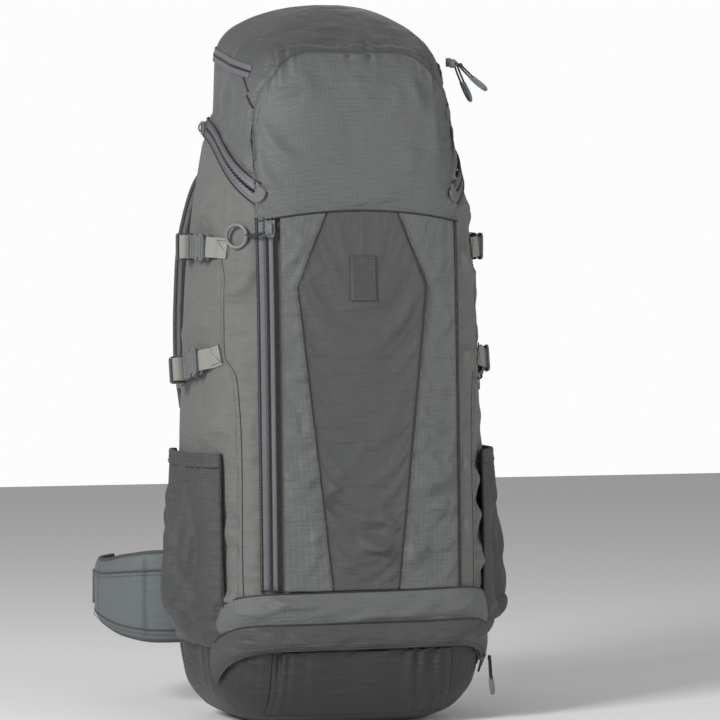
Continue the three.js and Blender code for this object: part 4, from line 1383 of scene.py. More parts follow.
def side_pockets():
    for side, name in SIDES:
        rng = np.random.default_rng(41 + side)
        points, u, rise = pocket_grid(side)
        obj = grid_object(f"pocket_cloth_{name}", points, flip=side < 0)
        y, z = points[..., 1], points[..., 2]
        relax(obj, border_pins(obj), pressure=0.6, slack=0.03, outward=7, inward=4)
        folds = [(22, 284, 2, 110, 11, 7.0), (-48, 280, -62, 110, 9, 6.0), (48, 250, 20, 110, 9, -5.0),
                 (-24, 270, -34, 92, 8, -8.0),
                 (-40, 110, 30, 96, 7, 3.0)]
        folds += random_folds(rng, 16, (-60, 100, 55, 270), 78, 24, 90, 7, 4.0)
        edge = np.clip(7 * np.minimum(u, 1 - u), 0, 1) * np.clip(7 * rise, 0, 1)
        raise_points(obj, fold_lift(y, z, folds) * edge * (0.35 + 0.65 * np.clip(6 * (1 - rise), 0, 1)))
        thicken(obj, 1.6)
        finish_piece(obj, "bag", "dark_fabric", pocket_look, f"side_pocket_{name}")
        hem, _, _ = pocket_grid(side, -0.7, POCKET_TOP - 15, POCKET_TOP, 7, 90)
        ripple = 0.5 * np.sin(np.linspace(0, 90, 90))[None, :] * np.ones((7, 1))
        hem[..., 0] += side * ripple
        band = grid_object(f"pocket_hem_{name}", hem, flip=side < 0)
        thicken(band, 2.6, offset=0)
        finish_piece(band, "bag", "dark_fabric", pocket_look)
        for drop_by in (3.0, 12.0):
            line, _, _ = pocket_grid(side, -2.6, POCKET_TOP - drop_by, POCKET_TOP - drop_by + 1, 2, 60)
            normals = np.tile((side, 0.0, 0.0), (60, 1))
            stitches(f"pocket_stitching_{int(drop_by)}_{name}", line[0], normals, "bag", "dark_fabric",
                     thread_look, out=0.2)
        seam, _, _ = pocket_grid(side, 0.0, rows=60)
        finish_piece(tube(f"pocket_seam_{name}", seam[:, 0] + (side * 0.4, 0, 0), 1.5), "bag",
                     "dark_fabric", piping_look)


# ---- Compression straps ----------------------------------------------------------------------

STRAP_Y = -12


def strap_axes(level, side):
    tilt = math.radians(STRAP_TILT[level])
    z = STRAP_Z[level]
    half = float(np.interp(z, *np.array(HALF_WIDTH, float).T))
    origin = np.array([side * (half + 3), STRAP_Y, z])
    along = np.array([0, math.cos(tilt), math.sin(tilt)])
    outward = np.array([side, 0.0, 0.0])
    return origin, along, np.cross(outward, along), outward


def mirrored(points):
    return [(x, -y) for x, y in points]


def socket_outline():
    upper = [(-29, 11), (-26, 14.5), (-17.5, 14.5), (-16.5, 11.2), (-6.5, 11.2), (-5.5, 14.5), (0, 14.5)]
    return round_corners(upper + mirrored(upper)[::-1], 1.2, 3)


def prong_outline():
    upper = [(20, 12.5), (3, 13), (1, 11.5), (-5, 12.2), (-7, 14.2), (-13, 14.2), (-16, 11.6), (-20, 9),
             (-19, 7.4), (-12, 8.4), (-2, 8), (-1, 6), (-2, 2.6), (-14, 2.2)]
    return round_corners(upper + mirrored(upper)[::-1], 0.9, 3)


def buckle(level, side, name):
    origin, along, across, outward = strap_axes(level, side)

    def at(lift):
        return axes_matrix(origin + outward * lift, along, across, outward)

    label = f"{level}_{name}"
    top = plate("a", socket_outline(), [rectangle(-26.5, -10.5, -22.5, 10.5, 0.8)], 2.4, at(7.8), 0.6)
    floor = plate("b", socket_outline(), [rectangle(-26.5, -10.5, -22.5, 10.5, 0.8)], 2.0, at(1.0), 0.5)
    rails = [plate("c", rectangle(-21, side_low, -0.6, side_low + 1.6, 0.5), [], 5.2, at(4.4), 0.3)
             for side_low in (-7.6, 6.0)]
    bar = plate("d", rectangle(-22.5, -13.5, -20.5, 13.5, 0.6), [], 5.2, at(4.4), 0.3)
    rib = plate("e", rectangle(-17, -3.2, -3, 3.2, 1.4), [], 1.2, at(9.1), 0.35)
    socket = merge(f"buckle_socket_{label}_piece", [top, floor, bar, rib] + rails)
    finish_piece(socket, "bag", "buckle_plastic", LOOKS["buckle_plastic"], f"buckle_socket_{label}")
    arms = plate("f", prong_outline(), [rectangle(10.5, -10.4, 13.5, 10.4, 0.8),
                                        rectangle(5.2, -10.4, 8.2, 10.4, 0.8)], 4.4, at(4.4), 0.6)
    head = plate("g", rectangle(1.2, -13, 4.2, 13, 0.8), [], 7.0, at(4.5), 0.6)
    tail = plate("h", rectangle(16.5, -12.5, 20.5, 12.5, 0.9), [], 6.4, at(4.7), 0.7)
    prong = merge(f"buckle_prong_{label}_piece", [arms, head, tail])
    body = f"buckle_prong_{label}"
    finish_piece(prong, body, "buckle_plastic", LOOKS["buckle_plastic"], f"buckle_prong_{label}")
    rolled_tail(level, side, name, body)
    strap_webbing(level, side, name)


def merge(name, parts):
    vertices, faces, shift = [], [], 0
    for part in parts:
        mesh = part.data
        vertices.append(vertex_array(part) / MM)
        faces += [tuple(v + shift for v in polygon.vertices) for polygon in mesh.polygons]
        shift += len(mesh.vertices)
        bpy.data.objects.remove(part)
    obj = new_object(name, np.concatenate(vertices), faces)
    fix_normals(obj)
    obj.data.polygons.foreach_set("use_smooth", [False] * len(obj.data.polygons))
    bevel = obj.modifiers.new("round", "WEIGHTED_NORMAL")
    bevel.keep_sharp = True
    return obj


def rolled_tail(level, side, name, body):
    """The webbing's spare end, rolled flat into a few turns behind the prong."""
    origin, along, across, outward = strap_axes(level, side)
    turns, steps = 3.6, 150
    angle = np.linspace(0, 2 * math.pi * turns, steps)
    shrink = angle / (2 * math.pi) * 2.3
    half_long, half_high = 12.5 - shrink, 7.6 - shrink
    straight = np.maximum(half_long - half_high, 0)
    c, s = np.cos(angle), np.sin(angle)
    power = 0.62
    x = np.sign(c) * np.abs(c) ** power * (straight + half_high)
    y = np.sign(s) * np.abs(s) ** 0.8 * half_high
    lead = np.linspace(1, 0, 12)[:, None]
    spiral = origin + along * (34.5 + x)[:, None] + outward * (10 + y)[:, None]
    start = origin + along * (20 + 26 * (1 - lead)) + outward * (2.2 + 0 * lead)
    line = smooth_rows(np.concatenate([start[:4], spiral[steps // 16:]]), 2)
    obj = sweep(f"webbing_tail_{level}_{name}_piece", even_line(line, 150), across, 25, 1.9, 10, 14)
    finish_piece(obj, body, "webbing", LOOKS["webbing"], f"webbing_tail_{level}_{name}")
    keeper = [(-14, -8.8), (14, -8.8), (14, 9.2), (-14, 9.2)]
    ring = np.array([origin + along * 31 + across * a + outward * (10 + b)
                     for a, b in round_corners(keeper, 3, 4)])
    band = sweep(f"tail_keeper_{level}_{name}", ring, along, 7, 1.2, 8, 12, loop=True)
    finish_piece(band, body, "webbing", LOOKS["dark_fabric"])


def box_stitching(name, origin, along, across, outward, length, width, body, slot):
    corners = [(-1, -1), (1, -1), (1, 1), (-1, 1), (-1, -1), (1, 1)]
    points = [origin + along * a * length / 2 + across * b * width / 2 for a, b in corners]
    line = np.concatenate([np.linspace(p, q, 20)[:-1] for p, q in zip(points[:-1], points[1:])])
    normals = np.tile(outward, (len(line), 1))
    return stitches(name, line, normals, body, slot, thread_look, out=0.1, pitch=2.6, length=1.9,
                    radius=0.35)


def strap_webbing(level, side, name):
    """The strap's fixed stretches: a sewn tab ahead of the buckle, and the run to the back seam."""
    origin, along, across, outward = strap_axes(level, side)
    rear_lift = 0.8 if level == "lower" else 2.4        # the lower prong slides back over this stretch
    for part, near, far, lift in (("front", -26, -62, 4.6), ("rear", 12, 101, rear_lift)):
        t = np.linspace(near, far, 40)
        flat = origin + along * t[:, None]
        normals = shell_frame(flat[:, 2], turn_of_y(np.clip(flat[:, 1], -100, 90), flat[:, 2], side))[1]
        on_bag = bag_cloth.lay(flat, normals, 1.3)
        towards = np.clip(1 - np.abs(t - near) / 16, 0, 1)[:, None]
        line = on_bag * (1 - towards) + (flat + outward * (lift - 3 + 2.2)) * towards
        strap = ribbon_on(f"strap_{part}_{level}_{name}", smooth_rows(line, 4), normals, 22, 1.8)
        finish_piece(strap, "bag", "webbing", LOOKS["webbing"])
        if part == "front":
            mid = 27
            box_stitching(f"strap_stitching_{level}_{name}", line[mid] + normals[mid] * 1.1,
                          unit(line[mid + 1] - line[mid]), across, normals[mid], 18, 16, "bag", "webbing")


# ---- Zip sliders and pulls -------------------------------------------------------------------

def turned_axes(turn):
    angle = math.radians(turn)
    width = np.array([math.cos(angle), math.sin(angle), 0])
    return width, np.array([math.sin(angle), -math.cos(angle), 0]), np.array([0, 0, 1.0])


def slider(name, node, body, spot, turn, length, width):
    """A zip slider: a waisted body, the bridge over it and the eye that holds the pull."""
    right, outward, up = turned_axes(turn)
    half, long = width / 2, length / 2

    def at(lift, extra=0.0):
        return axes_matrix(np.array(spot) + outward * lift + up * extra, right, up, outward)

    shield = [(-half * 0.7, -long), (half * 0.7, -long), (half, -long * 0.3), (half * 0.86, long * 0.3),
              (half, long), (0, long * 0.7), (-half, long), (-half * 0.86, long * 0.3), (-half, -long * 0.3)]
    body_plate = plate("a", round_corners(shield, 1.4, 3), [], 2.2, at(1.4), 0.6)
    lower = plate("b", round_corners(shield, 1.4, 3), [], 1.2, at(-0.6), 0.4)
    t = np.linspace(0, math.pi, 18)
    bridge_line = (np.array(spot) + up * (np.cos(t) * long * 0.62)[:, None]
                   + outward * (2.0 + 3.6 * np.sin(t) ** 0.8)[:, None])
    bridge = sweep("c", bridge_line, right, half * 0.8, 1.3, 5, 12)
    obj = merge(name, [body_plate, lower, bridge])
    finish_piece(obj, body, "buckle_plastic", LOOKS["buckle_plastic"], node)


def cord_pull(name, node, body, hang, turn, width, drop_by, lean_by, grip_share=0.5):
    """A loop of thin cord through a slider, with a moulded U-shaped grip at its end."""
    right, outward, _ = turned_axes(turn)
    half = width / 2
    flat = [(-half * 0.4, 0, 0), (-half, 0.5, 0.55), (-half * 0.8, 0.9, 0.9), (0, 1, 1),
            (half * 0.8, 0.9, 0.9), (half, 0.5, 0.55), (half * 0.4, 0, 0)]
    points = np.array([np.array(hang) + right * a + outward * (b * lean_by) + (0, 0, -c * drop_by)
                       for a, b, c in flat])
    ring = smooth_line(np.concatenate([points, points[:1]]), 61)[:-1]
    cord = tube("a", ring, 1.05, 8, loop=True)
    fall = (points[0][2] - ring[:, 2]) / drop_by
    gripped = ring[fall > grip_share]
    start = np.argmax(fall > grip_share)
    order = [i % len(ring) for i in range(start, start + len(gripped))]
    grip_line = even_line(ring[order], 26)
    swell = 1.75 + 0.35 * np.sin(np.linspace(0, math.pi, 26))
    grip = tube("b", grip_line, swell, 12)
    bend = np.array([ring[0] + outward * 0.2, ring[0] + outward * 1.2, ring[0] + (0, 0, -3.2)])
    knot = tube("c", bend, 1.9, 10)
    cord_obj = merge(name + "_cord", [cord, knot])
    smooth(cord_obj)
    finish_piece(cord_obj, body, "grip_plastic", piping_look)
    grip.name = name + "_grip"
    finish_piece(grip, body, "grip_plastic", LOOKS["grip_plastic"], node)


def smooth(obj):
    obj.modifiers.clear()
    obj.data.polygons.foreach_set("use_smooth", [True] * len(obj.data.polygons))


LID_SLIDERS = {"front": (-44, 706, 27, 30), "rear": (-31, 707.5, 40, 17)}    # y, z, drop, lean
LID_SLIDER_X = 121
RING_CENTRE, RING_RADIUS, RING_CORD = np.array([-131, -78, 521.0]), 12, 1.9
BOTTOM_SLIDER_TURN, BOTTOM_SLIDER_Z = 60, 70


def pulls():
    for name, (y, z, drop_by, lean_by) in LID_SLIDERS.items():
        slider(f"lid_slider_{name}_piece", f"lid_slider_{name}", f"lid_slider_{name}",
               (LID_SLIDER_X, y, z), 90, 10, 8)
        cord_pull(f"lid_pull_{name}", f"lid_pull_{name}", f"lid_pull_{name}",
                  (LID_SLIDER_X + 9, y, z - 1), 90, 10, drop_by, lean_by)
    x, z = -100, 529
    spot = (x, float(front_surface(x, z, 5.2)), z)
    slider("front_zip_slider_piece", "front_zip_slider", "front_zip_slider", spot, -21, 19, 11)
    facing = math.radians(-46)
    flat_x = np.array([math.cos(facing), math.sin(facing), 0])
    angle = np.linspace(0, 2 * math.pi, 49)[:-1]
    ring = RING_CENTRE + RING_RADIUS * (np.cos(angle)[:, None] * flat_x
                                        + np.sin(angle)[:, None] * (0, 0, 1.0))
    hoop = tube("a", ring, RING_CORD, 12, loop=True)
    near = np.array(spot) + (-8, -8, -4)
    far = RING_CENTRE + unit(near - RING_CENTRE) * RING_RADIUS
    smooth(hoop)
    hoop.name = "front_zip_ring"
    finish_piece(hoop, "front_zip_pull", "grip_plastic", LOOKS["grip_plastic"], "front_zip_pull")
    sag = np.linspace(0, 1, 14)[:, None]
    for offset in (-1.3, 1.3):
        line = near + (far - near) * sag
        line[:, 2] += ((offset - 2.0) * np.sin(math.pi * sag))[:, 0]
        finish_piece(tube(f"front_zip_cord_{'a' if offset < 0 else 'b'}", line, 0.95, 8),
                     "front_zip_pull", "grip_plastic", piping_look)
    spot = shell_point(BOTTOM_SLIDER_Z, BOTTOM_SLIDER_TURN, 3.0)
    slider("bottom_zip_slider_piece", "bottom_zip_slider", "bottom_zip_slider", spot, 58, 13, 10)
    hang = spot + np.array([0.85, -0.53, 0]) * 9.5 - (0, 0, 2)
    cord_pull("bottom_zip_pull", "bottom_zip_pull", "bottom_zip_pull", hang, 58, 8, 40, 4, 0.6)
    for side, name in SIDES:
        y = 62
        z = ZIP_Z + math.sqrt(ZIP_RADIUS ** 2 - (y - ZIP_Y) ** 2)
        spot = (side * (float(side_surface(np.array(y), z)) + 3.4), y, z)
        slider(f"side_zip_slider_{name}_piece", f"side_zip_slider_{name}", f"side_zip_slider_{name}",
               spot, side * 90, 15, 10)


# ---- Lid zip ---------------------------------------------------------------------------------

def lid_zip():
    turn = np.linspace(62, 298, 150)
    line, normals = shell_frame(705.0, turn, 2.2)
    laid = smooth_rows(lid_cloth_surface.lay(line, normals, 0.9, 16), 4)
    for side in (-1, 1):
        low, high = sorted((side * 0.9, side * 7))
        obj = strip_sheet(f"lid_zip_tape_{'upper' if side > 0 else 'lower'}", laid, normals, low, high, 0)
        add_wall(obj, 1.4)
        finish_piece(obj, "lid", "zip_tape", LOOKS["zip_tape"])
        if side > 0:
            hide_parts("lid_zip_tape")
    zip_teeth("lid_zip_teeth", laid, normals, "lid", out=0.1)
    for side, name in SIDES:
        z = np.linspace(694, 656, 24)
        y = np.linspace(-36, -62, 24)
        line, normals = side_frame(side, y, z, 0)
        seam = smooth_rows(lid_cloth_surface.lay(line, normals, 0.2, 16), 3)
        finish_piece(tube(f"lid_corner_seam_{name}", seam, 1.3), "lid", "dark_fabric", piping_look)


side_pockets()
for strap_level in STRAP_Z:
    for strap_side, strap_name in SIDES:
        buckle(strap_level, strap_side, strap_name)
pulls()
lid_zip()
# ---- Harness ---------------------------------------------------------------------------------

STRAP_PATH = [(54, 122, 598), (58, 152, 604), (70, 180, 580), (84, 190, 525), (93, 178, 445),
              (98, 160, 375), (101, 148, 325)]
STRAP_WIDTH = [(0, 42), (0.25, 60), (0.8, 66), (1, 52)]
LOWER_WEBBING = [(101, 146, 322), (107, 133, 262), (114, 116, 206), (116, 101, 183)]
HIP_PATH = [(106, 121), (146, 126), (183, 147), (203, 186), (198, 232), (172, 272)]
HIP_WEBBING = [(170, 276), (152, 296), (112, 313), (64, 319), (20, 320)]
HAUL_PATH = [(-24, 112), (-21, 126), (0, 134), (21, 126), (24, 112)]
PAD_THICK = 14
HIP_MIDDLE = 128
FIN_LOW = [(0, 76), (0.25, 75), (0.42, 80), (0.6, 91), (0.8, 97), (1, 98)]
FIN_HIGH = [(0, 173), (0.25, 172), (0.42, 167), (0.6, 160), (0.8, 159), (1, 159)]


def mirror(points, side):
    return np.array([(side * x, *rest) for x, *rest in points], float)


def pad_body(name, line, across, width, thick, channels, count=44, power=3.2):
    """A padded strap: a crowned loft with sewn channels across it."""
    obj = sweep(name, line, across, width, thick, power, count)
    rows = len(line)
    t = np.repeat(np.linspace(0, 1, rows), count)
    angle = np.tile(np.linspace(0, 2 * math.pi, count, endpoint=False) + math.pi / count, rows)
    groove = np.zeros(rows * count)
    for spot in channels:
        groove += np.exp(-((t - spot) / 0.008) ** 2)
    face = np.clip(np.abs(np.sin(angle)) * 1.5 - 0.3, 0, 1)
    lift = np.concatenate([-1.8 * groove * face, [0, 0]])
    raise_points(obj, lift)
    # painted shade in the sewn channels' grooves
    set_attribute(obj, "seam", np.concatenate([np.clip(groove * face, 0, 1) * 0.6, [0, 0]]))
    finer = obj.modifiers.new("finer", "SUBSURF")
    finer.levels = finer.render_levels = 1
    return obj


def edge_lines(line, across, width):
    tangent = unit(np.gradient(line, axis=0))
    across = np.broadcast_to(np.asarray(across, float), line.shape)
    across = unit(across - np.sum(across * tangent, 1, keepdims=True) * tangent)
    reach = np.broadcast_to(np.asarray(width, float), len(line))[:, None] / 2
    return line - across * reach, line + across * reach, np.cross(tangent, across)


def facing_sheet(name, line, across, width, lift, thick):
    """A sheet laid along one face of a padded strap."""
    low, high, normal = edge_lines(line, across, width)
    share = np.linspace(0, 1, 9)[None, :, None]
    crown = (np.sin(math.pi * share) ** 0.5)
    points = low[:, None] + (high - low)[:, None] * share + normal[:, None] * lift * (0.80 + 0.24 * crown)
    obj = grid_object(name, points)
    add_wall(obj, thick)
    return obj


def shoulder_strap(side, name):
    body = f"shoulder_strap_{name}"
    line = smooth_line(mirror(STRAP_PATH, side), 90)
    t = np.linspace(0, 1, 90)
    width = smooth_stations(STRAP_WIDTH)(t)
    strap = pad_body(f"strap_pad_{name}", line, (1, 0, 0), width - 2, PAD_THICK - 2,
                     (0.16, 0.34, 0.50, 0.66, 0.82))
    finish_piece(strap, body, "foam_pad", strap_look, f"shoulder_strap_{name}")
    low, high, normal = edge_lines(line, (1, 0, 0), width)
    toward_bag = -1 if normal[45][1] > 0 else 1
    lining = facing_sheet(f"strap_mesh_{name}", line[4:-3], (1, 0, 0), width[4:-3] - 9,
                          toward_bag * (PAD_THICK / 2 + 0.2), 1.6)
    finish_piece(lining, body, "air_mesh", LOOKS["air_mesh"])
    for edge, tag in ((low, "inner"), (high, "outer")):
        finish_piece(tube(f"strap_binding_{tag}_{name}", edge[1:-1], 2.4, 10), body, "dark_fabric", flap_look)
    away = -toward_bag
    ladder = line + normal * away * (PAD_THICK / 2 + 0.9)
    keeper = ribbon_on(f"strap_spine_{name}", ladder[12:78], normal[12:78] * away, 20, 1.6)
    finish_piece(keeper, body, "webbing", LOOKS["webbing"])
    for low_end, high_end, tag in ((14, 22, "a"), (38, 46, "b"), (66, 76, "c")):
        mid = (low_end + high_end) // 2
        tangent = unit(ladder[mid + 1] - ladder[mid])
        across = unit(np.cross(normal[mid] * away, tangent))
        box_stitching(f"spine_stitching_{tag}_{name}", ladder[mid] + normal[mid] * away * 1.0, tangent,
                      across, normal[mid] * away, 16, 14, body, "webbing")
    ladder_lock(name, line[-1], unit(line[-1] - line[-4]), normal[-1] * away, body)
    load_lifter(side, name, line[18])


def ladder_lock(name, end, tangent, outward, body):
    """The buckle at a strap's lower end, with three bars that grip the webbing."""
    across = unit(np.cross(outward, tangent))
    origin = end + tangent * 9
    holes = [rectangle(-9 + k * 7.2, -10.5, -5 + k * 7.2, 10.5, 0.8) for k in range(3)]
    lock = plate(f"ladder_lock_{name}", rectangle(-12, -14.5, 13, 14.5, 3), holes, 4.2,
                 axes_matrix(origin, tangent, across, np.cross(tangent, across)), 0.9)
    finish_piece(lock, body, "buckle_plastic", LOOKS["buckle_plastic"])


def load_lifter(side, name, on_strap):
    anchor = np.array([side * 58, 97.5, 634.0])
    top = np.array([on_strap[0], on_strap[1] - 2, on_strap[2] + 9])
    line = smooth_line([anchor + (0, -1.2, -26), anchor, anchor + (0, 9, 3), top + (0, -16, 9), top], 40)
    strap = sweep(f"load_lifter_{name}", line, (1, 0, 0), 19, 1.8, 10, 16)
    strap.data.materials.append(LOOKS["webbing"])
    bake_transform(strap)


def lower_webbing(side, name):
    line = smooth_line(mirror(LOWER_WEBBING, side), 60)
    strap = sweep(f"lower_webbing_{name}_piece", line, (1, 0, 0), 20, 2.0, 10, 16)
    strap.data.materials.append(LOOKS["webbing"])
    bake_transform(strap)
    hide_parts(f"lower_webbing_{name}")
    end, wing = line[-1], [(-15, -24), (15, -24), (11, 14), (-11, 14)]
    patch = plate(f"webbing_wing_{name}", round_corners(wing, 3), [], 2.4,
                  axes_matrix(end + (0, -2.5, 4), (1, 0, 0), unit(line[-4] - line[-1]),
                              np.cross((1, 0, 0), unit(line[-4] - line[-1]))), 0.7)
    finish_piece(patch, "bag", "dark_fabric", flap_look)


def sternum():
    for side, name in SIDES:
        near, far = (20, 92) if side > 0 else (-27, -92)
        x = np.linspace(near, far, 40)
        line = np.stack([x, 194 - 3.0 * np.clip((np.abs(x) - 60) / 32, 0, 1) ** 2 * 2.2, 0 * x + 470], 1)
        strap = sweep(f"sternum_webbing_{name}_piece", line, (0, 0, 1), 20, 1.8, 10, 14)
        finish_piece(strap, f"shoulder_strap_{name}", "webbing", LOOKS["webbing"], f"sternum_webbing_{name}")
        clip = plate(f"sternum_clip_{name}", rectangle(-9, -13, 9, 13, 3), [rectangle(-5, -10.4, -1.5, 10.4),
                     rectangle(1.5, -10.4, 5, 10.4)], 4.0,
                     axes_matrix((side * 88, 193.5, 470), (1, 0, 0), (0, 0, 1), (0, -1, 0)), 0.8)
        finish_piece(clip, f"shoulder_strap_{name}", "buckle_plastic", LOOKS["buckle_plastic"])
    front_buckle("sternum_buckle", (0, 199.8, 470), 24, 28, 19, 8.4,
                 "shoulder_strap_left", "sternum_buckle_prong")


def front_buckle(label, centre, width, socket_long, prong_long, thick, socket_body, prong_body):
    """A side-release buckle seen from the wearer's side: socket to -X, prong from +X."""
    half = width / 2
    x0, y0, z0 = centre

    def at(lift):
        return axes_matrix((x0, y0 + lift, z0), (1, 0, 0), (0, 0, 1), (0, -1, 0))

    upper = [(-socket_long, half * 0.75), (-socket_long * 0.85, half), (-socket_long * 0.62, half),
             (-socket_long * 0.58, half * 0.78), (-socket_long * 0.24, half * 0.78),
             (-socket_long * 0.2, half), (0, half)]
    outline = round_corners(upper + mirrored(upper)[::-1], 1.4, 3)
    slot_hole = rectangle(-socket_long * 0.93, -half * 0.7, -socket_long * 0.80, half * 0.7, 0.8)
    faces = [plate("a", outline, [slot_hole], thick * 0.26, at(lift), 0.6)
             for lift in (thick * 0.36, -thick * 0.36)]
    bar = plate("b", rectangle(-socket_long * 0.78, -half * 0.94, -socket_long * 0.68, half * 0.94, 0.6),
                [], thick * 0.6, at(0), 0.4)
    finish_piece(merge(f"{label}_socket_piece", faces + [bar]), socket_body, "buckle_plastic",
                 LOOKS["buckle_plastic"], f"{label}_socket")
    arm = [(prong_long, half * 0.86), (prong_long * 0.2, half * 0.92), (2, half * 0.80),
           (-socket_long * 0.22, half * 0.84), (-socket_long * 0.28, half * 0.98),
           (-socket_long * 0.46, half * 0.96), (-socket_long * 0.55, half * 0.62),
           (-socket_long * 0.5, half * 0.5), (-2, half * 0.55), (-1, half * 0.2),
           (-socket_long * 0.5, half * 0.15)]
    tongue = plate("c", round_corners(arm + mirrored(arm)[::-1], 0.9, 3),
                   [rectangle(prong_long * 0.45, -half * 0.68, prong_long * 0.66, half * 0.68, 0.8)],
                   thick * 0.42, at(0), 0.6)
    heads = [plate("d", rectangle(x, -half * 0.9, x + 3.4, half * 0.9, 0.8), [], thick * 0.94, at(0), 0.7)
             for x in (1.6, prong_long - 3.8)]
    finish_piece(merge(f"{label}_prong_piece", [tongue] + heads), prong_body, "buckle_plastic",
                 LOOKS["buckle_plastic"], f"{label}_prong")


def hip_fin(side, name):
    """A padded fin whose height changes along it, with a piped panel seam near its top edge."""
    flat = smooth_line([(side * x, y, 0) for x, y in HIP_PATH], 80)
    t = np.linspace(0, 1, 80)
    low = smooth_stations(FIN_LOW)(t)
    high = smooth_stations(FIN_HIGH)(t)
    line = flat.copy()
    line[:, 2] = (low + high) / 2
    body = f"hip_fin_{name}"
    pad = pad_body(f"hip_pad_{name}", line, (0, 0, 1), high - low - 1, PAD_THICK - 1, (0.30, 0.62), 60, 3.4)
    finish_piece(pad, body, "foam_pad", pad_look, f"hip_fin_{name}")
    _, _, normal = edge_lines(line, (0, 0, 1), high - low)
    out = 1 if normal[40][0] * side > 0 else -1
    lining = facing_sheet(f"hip_mesh_{name}", line[3:-3], (0, 0, 1), (high - low)[3:-3] - 14,
                          -out * (PAD_THICK / 2 - 0.2), 1.6)
    finish_piece(lining, body, "air_mesh", LOOKS["air_mesh"])
    for share, radius, tag in ((0.80, 1.3, "upper"), (0.12, 1.1, "lower")):
        seam = line.copy()
        seam[:, 2] = low + (high - low) * share
        seam += normal * out * (PAD_THICK / 2 - (0.9 if share > 0.5 else 1.5))
        finish_piece(tube(f"hip_piping_{tag}_{name}", seam[2:-2], radius, 8), body, "dark_fabric", flap_look)
        stitches(f"hip_stitching_{tag}_{name}", seam[3:-3] - (0, 0, 4.5), normal[3:-3] * out, body,
                 "foam_pad", thread_look, out=0.9)
    for edge, tag in ((low, "low"), (high, "high")):
        rim = line.copy()
        rim[:, 2] = edge
        finish_piece(tube(f"hip_binding_{tag}_{name}", rim[1:-1], 2.5, 10), body, "dark_fabric", flap_look)
    path = smooth_line([(side * x, y, HIP_MIDDLE) for x, y in HIP_WEBBING], 50)
    start = line[-18:-1:4].copy()
    start[:, 2] = HIP_MIDDLE
    start += normal[-18:-1:4] * out * (PAD_THICK / 2 + 1.2)
    web = sweep(f"hip_webbing_{name}_piece", path, (0, 0, 1), 38, 2.0, 12, 16)
    finish_piece(web, body, "webbing", LOOKS["webbing"], f"hip_webbing_{name}")
    tab = smooth_line(np.concatenate([start, path[3:5] + normal[-1] * out * 1.5]), 20)
    finish_piece(sweep(f"hip_tab_{name}", tab, (0, 0, 1), 38, 1.8, 12, 16), body, "webbing", LOOKS["webbing"])
    box_stitching(f"hip_tab_stitching_{name}", tab[5] + unit(np.cross(unit(tab[6] - tab[5]), (0, 0, 1)))
                  * out * 1.0, unit(tab[6] - tab[5]), np.array([0, 0, 1.0]), normal[-14] * out, 16, 30,
                  body, "webbing")


def crowned_pad(name, half, low, top, back, crown, look, slot, node, channels=(), middle=0.0,
                taper=None):
    """A padded panel on the wearer's side: crowned, with its edges drawn in and sewn channels."""
    u = np.linspace(-1, 1, 73)[None, :]
    v = np.linspace(0, 1, 121)[:, None]
    z = low + (top - low) * v + 0 * u
    reach = half * (taper(v) if taper else 1.0)
    x = reach * u + 0 * v
    edge = np.clip(1 - np.abs(u) ** 8, 0, 1) * np.clip(1 - np.abs(2 * v - 1) ** 22, 0, 1)
    lift = crown * edge ** 0.6
    if middle:
        lift = lift * (1 - 0.72 * np.exp(-(x / middle) ** 2))
    for channel in channels:
        lift = lift * (1 - 0.55 * np.exp(-((z - channel) / 4.0) ** 2))
    front = np.stack([x, back + lift, z], -1)
    rim = np.stack([x, np.full_like(x, back), z], -1)
    rings = np.concatenate([front, rim[:, ::-1][:, 1:-1]], 1)
    obj = loft(name, rings)
    # a painted-shade mask: darker where the pad sinks, in its channels, its middle groove and towards its
    # edges, and full on the rim
    dark = np.exp(-lift / (0.25 * crown))
    both = np.concatenate([dark, np.ones_like(dark)[:, 1:-1]], 1).ravel()
    set_attribute(obj, "seam", np.concatenate([both * 0.6, [0, 0]]))
    finish_piece(obj, "bag", slot, look, node)
    return obj


def back_pads():
    crowned_pad("back_pad", 101, 61, 625, 95.6, 14, LOOKS["air_mesh"], "air_mesh", "back_panel",
                channels=(190, 262, 334, 406, 478, 550), middle=11,
                taper=lambda v: 1 - 0.16 * smooth_step(v, 0.55, 1))
    crowned_pad("lumbar_cushion", 99, 79, 175, 110.5, 22, LOOKS["air_mesh"], "foam_pad", "lumbar_pad",
                middle=16)
    t = np.linspace(0, 2 * math.pi, 90, endpoint=False)
    for half, low, top, depth, tag in ((101, 61, 625, 97, "back"), (99, 79, 175, 112, "lumbar")):
        c, s = np.cos(t), np.sin(t)
        x = half * np.sign(c) * np.abs(c) ** 0.12
        z = (low + top) / 2 + (top - low) / 2 * np.sign(s) * np.abs(s) ** 0.12
        if tag == "back":
            x = x * (1 - 0.16 * smooth_step((z - low) / (top - low), 0.55, 1))
        rim = np.stack([x, np.full_like(x, depth), z], 1)
        finish_piece(tube(f"{tag}_binding", even_line(np.concatenate([rim, rim[:1]]), 200)[:-1], 2.3, 8,
                          loop=True), "bag", "dark_fabric", flap_look)


def haul_loop():
    line = smooth_line([(x, y, 612) for x, y in HAUL_PATH], 60)
    obj = sweep("haul_loop_piece", line, (0, 0, 1), 20, 2.6, 8, 18)
    finish_piece(obj, "haul_loop", "webbing", LOOKS["webbing"], "haul_loop")
    grip = sweep("haul_grip", line[20:40], (0, 0, 1), 17, 6.0, 4, 18)
    finish_piece(grip, "haul_loop", "dark_fabric", flap_look)


for harness_side, harness_name in SIDES:
    shoulder_strap(harness_side, harness_name)
    lower_webbing(harness_side, harness_name)
    hip_fin(harness_side, harness_name)
sternum()
front_buckle("hip_buckle", (5, 328.5, 128), 44, 40, 30, 12.6, "hip_fin_left", "hip_buckle_prong")
back_pads()
haul_loop()
# ---- Inside the bag, and small sewn parts ----------------------------------------------------

